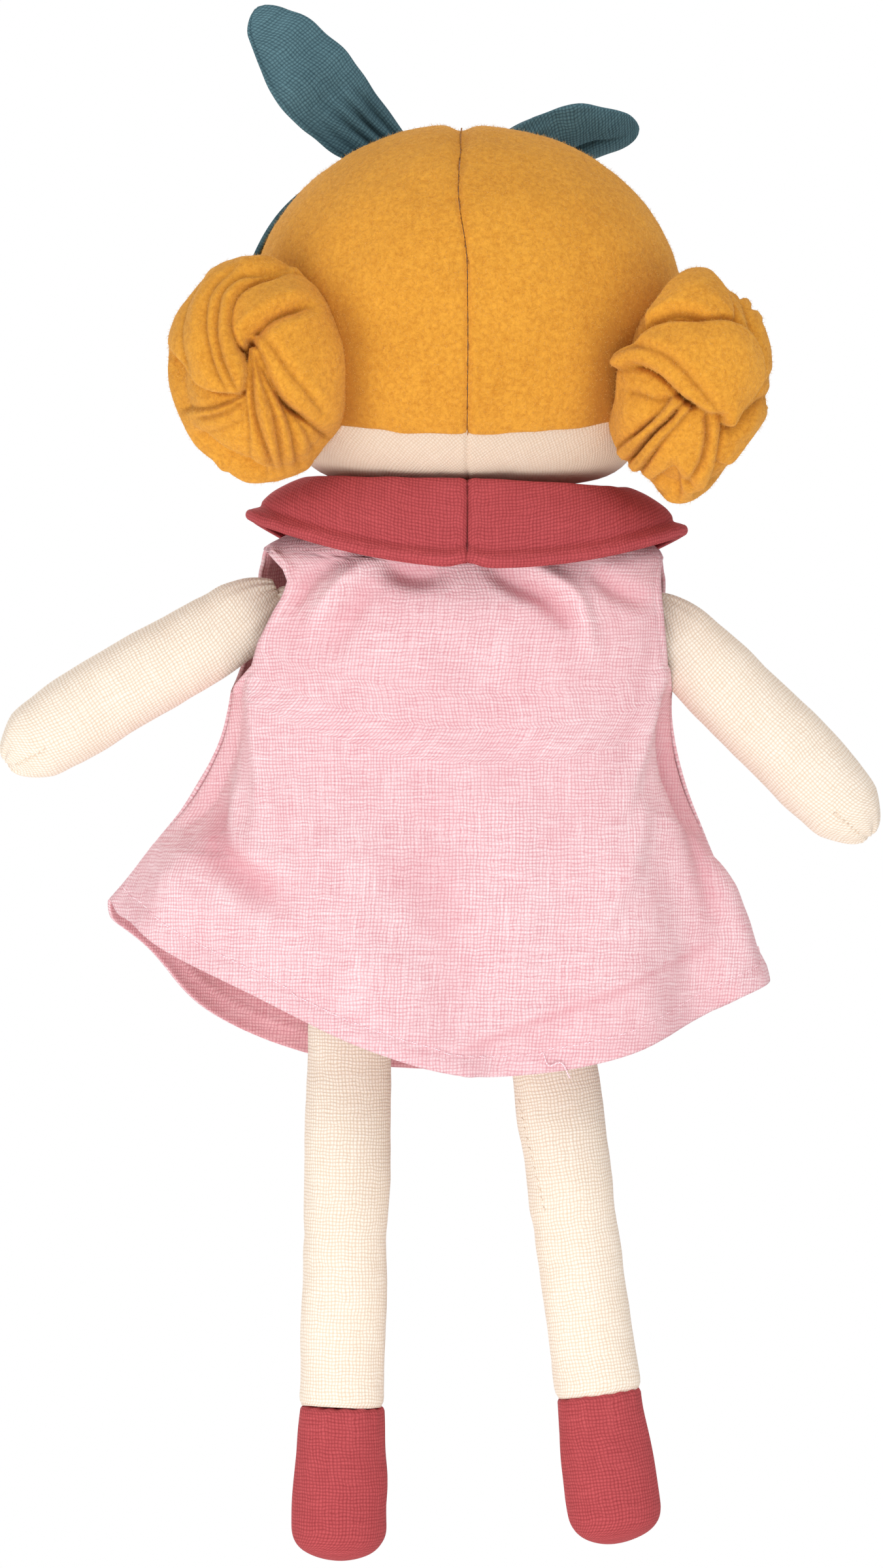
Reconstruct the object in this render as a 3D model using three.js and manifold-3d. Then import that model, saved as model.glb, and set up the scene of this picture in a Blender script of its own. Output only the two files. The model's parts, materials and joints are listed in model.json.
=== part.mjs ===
// A cloth doll, 350 mm from sole to crown, held upright. Its back faces +Y and its face -Y,
// so its own left side is +X. The origin is the middle of its stuffed body, at the waist.
// Linen skins hold loose fibre filling, and the limbs hang from sewn seams that bend like hinges.
import * as THREE from "three";
import { mergeVertices } from "three/addons/utils/BufferGeometryUtils.js";
import Module from "manifold-3d";

const wasm = await Module();
wasm.setup();

// Driving dimensions, in millimetres
const clearance = 0.35;
const overrun = 20;
const linen = { thickness: 0.9 };
const dressCloth = { thickness: 1.1 };
const felt = { step: 1.7 };

const torso = { length: 104, halfWidth: 40.5, halfDepth: 21, lean: 5 };
const neck = { radius: 12 };
const head = { halfWidth: 52.6, halfHeight: 44.85, depthBack: 43, depthFront: 39, lift: 3.2, cheek: 0.74 };
// Heights on the head are measured up from its centre
const hairline = { back: -31.25, backRise: 1.6, front: 12.95, frontDrop: 24, parting: 7, partingHalfWidth: 13 };
const band = { width: 15, thickness: 1.7, topFront: 29, sideFront: 11, sideHeight: 2.95, twist: 0.12, end: -16.05 };
const knot = { halfWidth: 5.8, halfDepth: 5.2, halfHeight: 5.8, offset: 5 };
const ear = { halfWidth: 10.2, halfThickness: 2.3, neckHalfWidth: 3 };
const eye = { radius: 3.1, spread: 17.5, height: -5.55, thickness: 0.8 };
const mouth = { halfWidth: 6, drop: 2, height: -22.05, thread: 0.8 };
const nose = { radius: 1.5, height: -13.55 };

const shoulder = { gatherRadius: 3.1 };
const arm = { length: 79, halfWidth: 10.8, halfDepth: 9.6, sag: 2.4 };
// Each arm hangs from the side seam, a little below the top of the body
const arms = [
  { side: "left", facing: 1, below: 22.6, droop: 28 },
  { side: "right", facing: -1, below: 24.8, droop: 42.3 },
];

const hip = { tapeRadius: 2.3 };
const leg = { length: 150.7, halfWidth: 10.8, halfDepth: 9.4, shoeLength: 38 };
const shoe = { halfWidth: 11.9, halfDepth: 11.2, toe: 1.6 };
const legs = [
  { side: "left", facing: 1, spread: 27.8, splay: 1.4, shorter: 0 },
  { side: "right", facing: -1, spread: 16.9, splay: 7.8, shorter: 3.2 },
];

// The dress starts a little below the top of the body. Its hem is measured down from the hips.
const dress = {
  below: 2.5,
  hemLeftDrop: -4.5,
  hemRightDrop: 11,
  hemMiddleDrop: 34.2,
  foldDepth: 1.7,
};
const armhole = { halfHeight: 17.6, halfDepth: 10.2, below: 27.8 };
const collar = {
  neckHalfWidth: 20.5,
  rollHalfWidth: 37.5,
  edgeHalfWidth: 52.6,
  neckHalfDepth: 18.5,
  rollHalfDepth: 25,
  edgeHalfDepth: 32,
  neckRise: 0.2,
  rollRise: 6,
  edgeSideDrop: 4.5,
  edgeBackDrop: 14.5,
  thickness: 1.1,
  liningShow: 1.2,
  frontGap: 7,
  frontDip: 4.5,
};
const binding = { radius: 1.1 };

// A bun's place is measured from the centre of the head
const buns = [
  { side: "left", across: 50.3, behind: 27, below: 15.85, halfWidth: 23, halfDepth: 21, halfHeight: 28 },
  { side: "right", across: -53.6, behind: 25, below: 19.65, halfWidth: 22, halfDepth: 21, halfHeight: 29.5 },
];

// How finely round forms are faceted
const facets = { torso: 20, head: 24, headRows: 12, limb: 14, dress: 44, collar: 24, small: 12, lobe: 8 };
const fillingFacets = { torso: 10, head: 12, headRows: 6, limb: 7 };

// Basic geometry helpers
const radians = (degrees) => (degrees * Math.PI) / 180;
const vec = (x, y, z) => new THREE.Vector3(x, y, z);
const mix = (a, b, share) => a + (b - a) * share;

// Joins rings of points into one closed surface. A ring of one point is a pole.
// A looped loft joins its last ring to its first, as the wall of an open tube does.
function loft(rings, looped = false) {
  const capped = rings.map((ring) => [...ring]);
  if (!looped && capped[0].length > 1) capped.unshift([centroid(capped[0])]);
  if (!looped && capped.at(-1).length > 1) capped.push([centroid(capped.at(-1))]);
  const starts = [];
  const points = [];
  for (const ring of capped) {
    starts.push(points.length);
    points.push(...ring);
  }
  const index = [];
  const spans = looped ? capped.length : capped.length - 1;
  for (let i = 0; i < spans; i++) {
    const j = (i + 1) % capped.length;
    joinRings(index, points, starts[i], capped[i].length, starts[j], capped[j].length);
  }
  const geometry = new THREE.BufferGeometry().setFromPoints(points);
  geometry.setIndex(index);
  return facingOut(geometry);
}

// Fills between two rings, each square split along its shorter diagonal
function joinRings(index, points, a, countA, b, countB) {
  const count = Math.max(countA, countB);
  for (let k = 0; k < count; k++) {
    const next = (k + 1) % count;
    const a0 = a + (countA > 1 ? k : 0);
    const a1 = a + (countA > 1 ? next : 0);
    const b0 = b + (countB > 1 ? k : 0);
    const b1 = b + (countB > 1 ? next : 0);
    if (countA === 1) index.push(a0, b1, b0);
    else if (countB === 1) index.push(a0, a1, b0);
    else if (points[a1].distanceTo(points[b0]) <= points[a0].distanceTo(points[b1])) {
      index.push(a0, a1, b0, a1, b1, b0);
    } else {
      index.push(a0, a1, b1, a0, b1, b0);
    }
  }
}

function centroid(ring) {
  const sum = ring.reduce((total, point) => total.add(point), vec(0, 0, 0));
  return sum.divideScalar(ring.length);
}

function signedVolume(geometry) {
  const place = geometry.attributes.position;
  const index = geometry.index.array;
  const corner = (i) => vec(0, 0, 0).fromBufferAttribute(place, index[i]);
  let sum = 0;
  for (let i = 0; i < index.length; i += 3) {
    sum += corner(i).dot(corner(i + 1).cross(corner(i + 2))) / 6;
  }
  return sum;
}

function facingOut(geometry) {
  if (signedVolume(geometry) < 0) geometry.index.array.reverse();
  return geometry;
}

// Cuts and joins
function solidOf(geometry) {
  const bare = geometry.clone();
  bare.deleteAttribute("normal");
  bare.deleteAttribute("uv");
  const merged = mergeVertices(bare, 1e-4);
  const vertProperties = new Float32Array(merged.attributes.position.array);
  const triVerts = new Uint32Array(merged.index.array);
  return new wasm.Manifold(new wasm.Mesh({ numProp: 3, vertProperties, triVerts }));
}

function geometryOf(solid) {
  const mesh = solid.getMesh();
  const geometry = new THREE.BufferGeometry();
  geometry.setAttribute("position", new THREE.BufferAttribute(mesh.vertProperties, 3));
  geometry.setIndex(new THREE.BufferAttribute(mesh.triVerts, 1));
  return geometry;
}

function boxSolid(low, high) {
  const size = high.map((value, k) => value - low[k]);
  const middle = high.map((value, k) => (value + low[k]) / 2);
  const geometry = new THREE.BoxGeometry(...size);
  geometry.translate(...middle);
  return solidOf(geometry);
}

// A prism whose outline lies in X and Z and which runs along Y
function prismSolid(outline, nearY, farY) {
  const shape = new THREE.Shape(outline.map(([x, z]) => new THREE.Vector2(x, z)));
  const geometry = new THREE.ExtrudeGeometry(shape, { depth: farY - nearY, bevelEnabled: false });
  geometry.rotateX(Math.PI / 2);
  geometry.translate(0, farY, 0);
  return solidOf(geometry);
}

// A ring of points round a centre, with half sizes along two directions
function ellipseRing(centre, side, up, halfSide, halfUp, count) {
  return Array.from({ length: count }, (_, k) => {
    const angle = (k / count) * 2 * Math.PI;
    const across = side.clone().multiplyScalar(halfSide * Math.cos(angle));
    const raised = up.clone().multiplyScalar(halfUp * Math.sin(angle));
    return centre.clone().add(across).add(raised);
  });
}

// Rings along a path. Each station is [share of the length, half width, half depth].
function sweepRings(path, stations, side, count) {
  return stations.map(([share, halfWidth, halfDepth]) => {
    const centre = path.getPointAt(share);
    const along = path.getTangentAt(share);
    const across = side.clone().addScaledVector(along, -side.dot(along)).normalize();
    const normal = along.clone().cross(across);
    return ellipseRing(centre, across, normal, halfWidth, halfDepth, count);
  });
}

// A skin between two sets of rings, open at the first ring and closed at the last
function bag(outer, inner) {
  const lastOut = [centroid(outer.at(-1))];
  const lastIn = [centroid(inner.at(-1))];
  return loft([lastOut, ...[...outer].reverse(), ...inner, lastIn]);
}

// A skin between two sets of rings, open at both ends
function sleeve(outer, inner) {
  return loft([...outer, ...[...inner].reverse()], true);
}

const thinned = (stations, by) => stations.map(([share, w, d]) => [share, w - by, d - by]);

// Materials
const cloth = (color, roughness) => new THREE.MeshStandardMaterial({ color, roughness, metalness: 0 });
const materials = {
  linen: cloth("#f0dcc4", 0.9),
  filling: cloth("#f7f5f0", 1),
  felt: cloth("#dd9a35", 0.95),
  teal: cloth("#476f7b", 0.85),
  rose: cloth("#b54f50", 0.85),
  pink: cloth("#edb3b8", 0.88),
  thread: cloth("#4a342b", 0.7),
  blushThread: cloth("#b0605a", 0.7),
};

const doll = new THREE.Group();

function add(name, geometry, material, parent = doll) {
  const mesh = new THREE.Mesh(geometry, material);
  mesh.name = name;
  parent.add(mesh);
  return mesh;
}

// The stuffed body: a pillow with a flat seam along its lower edge and an open neck
const torsoShares = [
  [-0.5, 0.86, 0.12],
  [-0.46, 0.93, 0.4],
  [-0.38, 0.97, 0.72],
  [-0.24, 0.99, 0.94],
  [0, 0.93, 1],
  [0.24, 0.98, 0.96],
  [0.36, 0.95, 0.82],
  [0.42, 0.78, 0.68],
  [0.465, 0.45, 0.56],
  [0.5, 0.3, 0.5],
];
const torsoTop = torso.length / 2;

// The body leans a little, so that its lower end stands to the doll's left of its neck
const leanAt = (height) => torso.lean * (0.5 - height / torso.length);

function torsoRings(thinner, count) {
  return torsoShares.map(([heightShare, widthShare, depthShare], row) => {
    const height = heightShare * torso.length + (row === 0 ? thinner : 0);
    const centre = vec(leanAt(height), 0, height);
    const halfWidth = torso.halfWidth * widthShare - thinner;
    const halfDepth = torso.halfDepth * depthShare - thinner * (row === 0 ? 0.5 : 1);
    return ellipseRing(centre, vec(1, 0, 0), vec(0, 1, 0), halfWidth, halfDepth, count);
  });
}

const neckCentre = vec(0, 0, torsoTop + clearance + neck.radius);
const neckSeat = solidOf(ballAt(neckCentre, neck.radius + clearance, facets.limb, 8));

function ballAt(centre, radius, around, rows) {
  const geometry = new THREE.SphereGeometry(radius, around, rows);
  geometry.rotateX(Math.PI / 2);
  geometry.translate(centre.x, centre.y, centre.z);
  return geometry;
}

function makeTorso() {
  const outer = torsoRings(0, facets.torso).reverse();
  const inner = torsoRings(linen.thickness, facets.torso).reverse();
  const core = torsoRings(linen.thickness + clearance, fillingFacets.torso);
  add("torso_cover", bag(outer, inner), materials.linen);
  const fillingTop = core.at(-1).map((point) => point.clone().setZ(torsoTop - clearance));
  core.splice(-1, 1, fillingTop);
  add("torso_filling", loft(core), materials.filling);
}

// The neck is a short round stub that the head turns and nods on
function makeNeck() {
  const skin = solidOf(ballAt(neckCentre, neck.radius, facets.limb, 8));
  const hollow = solidOf(ballAt(neckCentre, neck.radius - linen.thickness, facets.limb, 8));
  const top = neckCentre.z + neck.radius / 2;
  const wide = neck.radius + overrun;
  const above = boxSolid([-wide, -wide, top], [wide, wide, top + wide]);
  add("neck_cover", geometryOf(skin.subtract(hollow).subtract(above)), materials.linen);
  const fillingRadius = neck.radius - linen.thickness - clearance;
  add("neck_filling", ballAt(neckCentre, fillingRadius, facets.limb, 8), materials.filling);
}

// The head is an egg, a little flatter in front than behind and fuller at the cheeks. Layers are offsets from the hair's face.
const headCentre = vec(0, 0, torsoTop + head.lift + head.halfHeight);
const layers = {
  skinOuter: -felt.step,
  skinInner: -felt.step - linen.thickness,
  filling: -felt.step - linen.thickness - clearance,
  frontHairInner: clearance - felt.step,
  bandInner: clearance,
  bandOuter: clearance + band.thickness,
};

function headSolid(offset, around = facets.head, rows = facets.headRows) {
  const geometry = new THREE.SphereGeometry(1, around, rows);
  geometry.rotateX(Math.PI / 2);
  const place = geometry.attributes.position;
  for (let i = 0; i < place.count; i++) {
    const depth = place.getY(i) > 0 ? head.depthBack : head.depthFront;
    const round = place.getZ(i) > 0 ? 1 : head.cheek;
    const radius = Math.hypot(place.getX(i), place.getY(i));
    const fuller = radius > 0 ? radius ** (round - 1) : 0;
    const x = place.getX(i) * fuller * (head.halfWidth + offset);
    const y = place.getY(i) * fuller * (depth + offset);
    const height = Math.sign(place.getZ(i)) * Math.abs(place.getZ(i)) ** round;
    place.setXYZ(i, x, y, headCentre.z + height * (head.halfHeight + offset));
  }
  return solidOf(geometry);
}

const wide = head.halfWidth + overrun;
const tall = headCentre.z + head.halfHeight + overrun;
const half = clearance / 2;
const behind = boxSolid([-wide, half, -wide], [wide, wide, tall]);
const before = boxSolid([-wide, -wide, -wide], [wide, -half, tall]);
const sideOf = {
  left: boxSolid([half, -wide, -wide], [wide, wide, tall]),
  right: boxSolid([-wide, -wide, -wide], [-half, wide, tall]),
};

// The region above a hairline, written as heights across the head
function aboveLine(heightAt, steps, shift) {
  const line = Array.from({ length: steps + 1 }, (_, i) => {
    const x = mix(-wide, wide, i / steps);
    return [x, heightAt(x) + shift];
  });
  return prismSolid([...line, [wide, tall], [-wide, tall]], -wide, wide);
}

const backHairline = (x) => headCentre.z + hairline.back + hairline.backRise * (x / (head.halfWidth / 2)) ** 2;
const frontHairline = (x) => {
  const across = Math.abs(x) / head.halfWidth;
  const parted = Math.max(0, 1 - Math.abs(x) / hairline.partingHalfWidth);
  return headCentre.z + hairline.front - hairline.frontDrop * across ** 2 + hairline.parting * parted;
};

function makeHead() {
  const hairFace = headSolid(0);
  const skinOuter = headSolid(layers.skinOuter);
  const skinInner = headSolid(layers.skinInner);
  const skin = skinOuter.subtract(skinInner).subtract(neckSeat);
  const thickSkin = hairFace.subtract(skinInner);
  const frontHair = hairFace.subtract(headSolid(layers.frontHairInner)).intersect(before);
  add("face_panel", geometryOf(skin.intersect(before)), materials.linen);
  const steps = 24;
  const backAbove = aboveLine(backHairline, steps, half);
  const backBelow = aboveLine(backHairline, steps, -half);
  const frontAbove = aboveLine(frontHairline, steps, 0);
  for (const side of ["left", "right"]) {
    const back = thickSkin.intersect(behind).intersect(sideOf[side]).intersect(backAbove);
    const nape = skin.intersect(behind).intersect(sideOf[side]).subtract(backBelow);
    const front = frontHair.intersect(sideOf[side]).intersect(frontAbove);
    add(`hair_back_${side}`, geometryOf(back), materials.felt);
    add(`nape_panel_${side}`, geometryOf(nape), materials.linen);
    add(`hair_front_${side}`, geometryOf(front), materials.felt);
  }
  const core = headSolid(layers.filling, fillingFacets.head, fillingFacets.headRows);
  add("head_filling", geometryOf(core.subtract(neckSeat)), materials.filling);
}

// The face is stitched: two round eyes, a dot of a nose and a small curved mouth
function makeFace() {
  const thread = headSolid(layers.skinOuter + clearance + eye.thickness);
  const stitched = thread.subtract(headSolid(layers.skinOuter + clearance)).intersect(before);
  const dot = (x, z, radius) => {
    const outline = Array.from({ length: facets.small }, (_, k) => {
      const angle = (k / facets.small) * 2 * Math.PI;
      return [x + radius * Math.cos(angle), z + radius * Math.sin(angle)];
    });
    return geometryOf(stitched.intersect(prismSolid(outline, -wide, 0)));
  };
  const eyeHeight = headCentre.z + eye.height;
  add("eye_left", dot(eye.spread, eyeHeight, eye.radius), materials.thread);
  add("eye_right", dot(-eye.spread, eyeHeight, eye.radius), materials.thread);
  add("nose", dot(0, headCentre.z + nose.height, nose.radius), materials.blushThread);
  const smile = (x) => headCentre.z + mouth.height - mouth.drop * (1 - (x / mouth.halfWidth) ** 2);
  const shares = [-1, -0.6, -0.2, 0.2, 0.6, 1];
  const lower = shares.map((share) => [share * mouth.halfWidth, smile(share * mouth.halfWidth)]);
  const upper = [...lower].reverse().map(([x, z]) => [x, z + mouth.thread]);
  const strip = prismSolid([...lower, ...upper], -wide, 0);
  add("mouth", geometryOf(stitched.intersect(strip)), materials.blushThread);
}

// The headband runs over the crown from bun to bun, leaning forward at the top
const bandFall = (band.topFront - band.sideFront) / (head.halfHeight - band.sideHeight);

function bandAt(x, y, z) {
  return y + band.sideFront - band.twist * x + (z - headCentre.z - band.sideHeight) * bandFall;
}

function bandSlab(extra) {
  const halfWidth = band.width / 2 + extra;
  const scale = Math.hypot(1, bandFall);
  const end = headCentre.z + band.end - extra;
  const corners = (offset) =>
    [[-wide, end], [wide, end], [wide, tall], [-wide, tall]].map(
      ([x, z]) => vec(x, offset * scale - bandAt(x, 0, z), z),
    );
  return solidOf(loft([corners(-halfWidth), corners(halfWidth)]));
}

const bandShell = (inner, outer, extra) =>
  headSolid(outer).subtract(headSolid(inner)).intersect(bandSlab(extra));

function makeHeadband() {
  const strip = bandShell(layers.bandInner, layers.bandOuter, 0);
  add("headband", geometryOf(strip), materials.teal);
}

// The knot of the bow sits on the band, in front of the crown
const knotY = -band.topFront;
const knotRise = Math.sqrt(1 - (knotY / head.depthFront) ** 2);
const knotHeight = headCentre.z + head.halfHeight * knotRise + knot.halfHeight / 2;
const knotCentre = vec(knot.offset, knotY, knotHeight);

function knotSolid(extra) {
  const geometry = new THREE.SphereGeometry(1, facets.small, 8);
  geometry.scale(knot.halfWidth + extra, knot.halfDepth + extra, knot.halfHeight + extra);
  geometry.translate(...knotCentre.toArray());
  return solidOf(geometry);
}

const knotRoom = knotSolid(clearance);

function makeKnot() {
  const seat = headSolid(layers.bandOuter + clearance);
  add("bow_knot", geometryOf(knotSolid(0).subtract(seat)), materials.teal);
}

// Each ear of the bow is a turned leaf of cloth that leaves the knot, with its tip free
const earShares = [
  [0, 0.34, 1],
  [0.12, 0.46, 1.3],
  [0.3, 0.78, 1.25],
  [0.5, 0.97, 1],
  [0.68, 1, 0.9],
  [0.84, 0.78, 0.75],
  [0.95, 0.44, 0.55],
  [1, 0.16, 0.3],
];
// Each ear's path is measured from the knot
const ears = [
  {
    side: "left",
    facing: 1,
    middle: { out: 25.6, behind: 3, up: 16.5 },
    tip: { out: 45.2, behind: 10, up: 41.3 },
    across: [0.8, 0.1, -0.6],
  },
  {
    side: "right",
    facing: -1,
    middle: { out: 26, behind: -3, up: 9.5 },
    tip: { out: 47.5, behind: -4, up: 10.6 },
    across: [0.1, 0.8, 0.6],
  },
];

function earPath(one) {
  const from = ({ out, behind, up }) => knotCentre.clone().add(vec(one.facing * out, behind, up));
  const root = from({ out: knot.halfWidth + clearance, behind: 0, up: 0 });
  return new THREE.CatmullRomCurve3([root, from(one.middle), from(one.tip)]);
}

function makeEars() {
  for (const one of ears) {
    const stations = earShares.map(([share, widthShare, thickShare]) => [
      share,
      Math.max(ear.halfWidth * widthShare, ear.neckHalfWidth * (share < 0.5 ? 1 : 0.4)),
      ear.halfThickness * thickShare,
    ]);
    const rings = sweepRings(earPath(one), stations, vec(...one.across), facets.small);
    const seat = headSolid(layers.bandOuter + clearance).add(knotRoom);
    const leaf = solidOf(loft(rings)).subtract(seat);
    add(`bow_ear_${one.side}`, geometryOf(leaf), materials.teal);
  }
}

// A bun is a felt strip tied into a knot: bands that cross over a round core.
// Each band is [half width share, points as shares of the bun's half sizes across and up].
const bunBandShares = {
  left: [
    [0.34, [[-0.42, 0.8], [0.05, 0.82], [0.5, 0.58], [0.64, 0.2], [0.3, -0.25]]],
    [0.27, [[-0.34, 0.7], [-0.03, 0.6], [0.16, 0.3]]],
    [0.4, [[-0.5, 0.66], [-0.62, 0.25], [-0.64, -0.15], [-0.62, -0.6]]],
    [0.36, [[0.12, 0.1], [-0.02, -0.4], [-0.12, -0.84]]],
    [0.3, [[0.84, -0.32], [0.56, -0.5], [0.26, -0.7]]],
  ],
  right: [
    [0.33, [[0.45, 0.58], [0.02, 0.74], [-0.38, 0.62]]],
    [0.24, [[-0.25, 0.86], [-0.64, 0.68], [-0.8, 0.36], [-0.82, 0.08]]],
    [0.42, [[0.66, 0.26], [0.12, 0.28], [-0.36, 0.06], [-0.42, -0.26]]],
    [0.36, [[0.72, 0.1], [0.66, -0.3], [0.8, -0.76]]],
    [0.36, [[-0.1, -0.2], [-0.02, -0.55], [0.02, -0.88]]],
    [0.3, [[-0.82, 0], [-0.74, -0.3], [-0.42, -0.58]]],
  ],
};
const bunShares = { core: 0.86, bandCentre: 0.84, bandRise: 0.17, leastDepth: 0.1 };

function bunSolid(bun) {
  const centre = headCentre.clone().add(vec(bun.across, bun.behind, -bun.below));
  const half = vec(bun.halfWidth, bun.halfDepth, bun.halfHeight);
  const core = new THREE.SphereGeometry(bunShares.core, facets.small, 8);
  core.rotateX(Math.PI / 2);
  core.scale(...half.toArray());
  core.translate(...centre.toArray());
  let solid = solidOf(core);
  for (const [widthShare, points] of bunBandShares[bun.side]) {
    solid = solid.add(bunBand(centre, half, widthShare, points));
  }
  return solid;
}

function bunBand(centre, half, widthShare, points) {
  const onBall = points.map(([u, v]) => {
    const depthShare = Math.sqrt(Math.max(bunShares.leastDepth, 1 - u * u - v * v));
    return vec(u, depthShare * bunShares.bandCentre, v).multiply(half).add(centre);
  });
  const path = new THREE.CatmullRomCurve3(onBall);
  const stationShares = [[0, 0.6], [0.2, 0.9], [0.4, 1], [0.6, 1], [0.8, 0.9], [1, 0.55]];
  const rings = stationShares.map(([share, fullness]) => {
    const point = path.getPointAt(share);
    const out = point.clone().sub(centre).normalize();
    const along = path.getTangentAt(share);
    const across = along.clone().cross(out).normalize();
    const halfWidth = half.x * widthShare * fullness;
    const halfRise = half.x * bunShares.bandRise * fullness;
    return ellipseRing(point, across, out, halfWidth, halfRise, facets.lobe);
  });
  return solidOf(loft(rings));
}

function makeBuns() {
  const hairFace = headSolid(clearance);
  const bandRoom = bandShell(0, layers.bandOuter + clearance, clearance * 2);
  for (const bun of buns) {
    const cut = bunSolid(bun).subtract(hairFace).subtract(bandRoom);
    const largest = cut.decompose().sort((a, b) => b.volume() - a.volume())[0];
    add(`bun_${bun.side}`, geometryOf(largest), materials.felt);
  }
}

// An arm is a stuffed sausage, narrow where it is gathered at the shoulder.
// Stations are [share of the length, share of the half width, share of the half depth].
const armShares = [
  [0.05, 0.42, 0.4],
  [0.12, 0.74, 0.72],
  [0.22, 0.84, 0.86],
  [0.4, 0.95, 0.97],
  [0.62, 1, 1],
  [0.82, 1, 0.97],
  [0.92, 0.8, 0.8],
  [0.98, 0.42, 0.42],
];

// The gathered shoulder stands against the body's side seam
function shoulderAt(one) {
  const widthShare = torsoShares[5][1];
  const reach = torso.halfWidth * widthShare + clearance + shoulder.gatherRadius;
  const height = torsoTop - one.below;
  return vec(leanAt(height) + one.facing * reach, 0, height);
}

function makeArm(one) {
  const group = new THREE.Group();
  group.position.copy(shoulderAt(one));
  group.rotation.y = one.facing > 0 ? radians(one.droop) : Math.PI - radians(one.droop);
  doll.add(group);
  const sagged = (share) => vec(share * arm.length, 0, -one.facing * arm.sag * share * share);
  const path = new THREE.CatmullRomCurve3([0, 0.25, 0.5, 0.75, 1].map(sagged));
  const stations = armShares.map(([share, w, d]) => [share, w * arm.halfWidth, d * arm.halfDepth]);
  const up = vec(0, 0, 1);
  const outer = sweepRings(path, stations, up, facets.limb);
  const innerStations = thinned(stations, linen.thickness);
  innerStations.at(-1)[0] -= linen.thickness / arm.length;
  const inner = sweepRings(path, innerStations, up, facets.limb);
  const coreStations = thinned(stations, linen.thickness + clearance);
  coreStations.at(-1)[0] -= (linen.thickness + clearance) / arm.length;
  const core = sweepRings(path, coreStations, up, fillingFacets.limb);
  add(`arm_cover_${one.side}`, bag(outer, inner), materials.linen, group);
  add(`arm_filling_${one.side}`, loft(core), materials.filling, group);
  const gather = new THREE.SphereGeometry(shoulder.gatherRadius, facets.small, 8);
  add(`shoulder_gather_${one.side}`, gather, materials.linen, group);
}

// A leg is a stuffed tube, flat where it is sewn in, with a shoe for its closed end
const legShares = [
  [(hip.tapeRadius + clearance) / leg.length, 0.8, 0.24],
  [0.07, 0.92, 0.62],
  [0.14, 0.98, 0.88],
  [0.24, 1, 1],
  [0.6, 0.98, 1],
];
const shoeShares = [
  [0, 0.9, 0.86],
  [0.2, 0.93, 0.9],
  [0.5, 1, 0.97],
  [0.8, 0.98, 1],
  [0.93, 0.8, 0.84],
  [0.985, 0.48, 0.52],
];

function legStations() {
  const ankle = 1 - leg.shoeLength / leg.length;
  const upper = legShares.map(([share, w, d]) => [share, w * leg.halfWidth, d * leg.halfDepth]);
  const [, ankleWidth, ankleDepth] = shoeStations()[0];
  return [...upper, [ankle, ankleWidth, ankleDepth]];
}

function shoeStations() {
  const ankle = 1 - leg.shoeLength / leg.length;
  return shoeShares.map(([share, w, d]) => [mix(ankle, 1, share), w * shoe.halfWidth, d * shoe.halfDepth]);
}

function makeLeg(one) {
  const group = new THREE.Group();
  group.position.set(one.facing * one.spread, 0, hipLine);
  group.rotation.y = -one.facing * radians(one.splay);
  doll.add(group);
  const length = leg.length - one.shorter;
  const path = new THREE.LineCurve3(vec(0, 0, 0), vec(0, 0, -length));
  const side = vec(1, 0, 0);
  const toSleeve = legStations();
  toSleeve.at(-1)[0] -= half / length;
  const outer = levelTop(sweepRings(path, toSleeve, side, facets.limb), one);
  const thinRows = thinned(toSleeve, linen.thickness);
  const inner = levelTop(sweepRings(path, thinRows, side, facets.limb), one);
  add(`leg_cover_${one.side}`, sleeve(outer, inner), materials.linen, group);

  const shoeRows = shoeStations();
  shoeRows[0][0] += half / length;
  const shoeOuter = toeForward(sweepRings(path, shoeRows, side, facets.limb));
  const shoeInnerRows = thinned(shoeRows, linen.thickness);
  shoeInnerRows.at(-1)[0] -= (linen.thickness * 1.6) / length;
  const shoeInner = toeForward(sweepRings(path, shoeInnerRows, side, facets.limb));
  add(`shoe_${one.side}`, bag(shoeOuter, shoeInner), materials.rose, group);

  const by = linen.thickness + clearance;
  const coreRows = thinned([...legStations().slice(0, -1), ...shoeStations()], by);
  coreRows[0][0] += by / length;
  coreRows.at(-1)[0] -= (by * 1.9) / length;
  const core = levelTop(sweepRings(path, coreRows, side, fillingFacets.limb), one);
  const upperCore = core.slice(0, legShares.length);
  const footCore = toeForward(core.slice(legShares.length));
  add(`leg_filling_${one.side}`, loft([...upperCore, ...footCore]), materials.filling, group);
}

// The sewn end of a leg is level, whatever the leg's splay
function levelTop(rings, one) {
  const middle = centroid(rings[0]);
  const up = vec(0, 1, 0);
  const turn = one.facing * radians(one.splay);
  const level = rings[0].map((point) => point.clone().sub(middle).applyAxisAngle(up, turn).add(middle));
  return [level, ...rings.slice(1)];
}

// The shoe bulges forward a little towards its toe
function toeForward(rings) {
  return rings.map((ring, row) => {
    const share = row / (rings.length - 1);
    return ring.map((point) => point.clone().setY(point.y - shoe.toe * share));
  });
}

const hipLine = -torsoTop - hip.tapeRadius - clearance;

// Both legs are trapped in one seam under the body, and fold about its round tape
function makeHipSeam() {
  const reach = leg.halfWidth * legShares[0][1];
  const left = legs[0].spread + reach;
  const right = -legs[1].spread - reach;
  const tape = new THREE.CylinderGeometry(hip.tapeRadius, hip.tapeRadius, left - right, facets.small);
  tape.rotateZ(Math.PI / 2);
  tape.translate((left + right) / 2, 0, hipLine);
  add("hip_seam_tape", tape, materials.linen);
}

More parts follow.
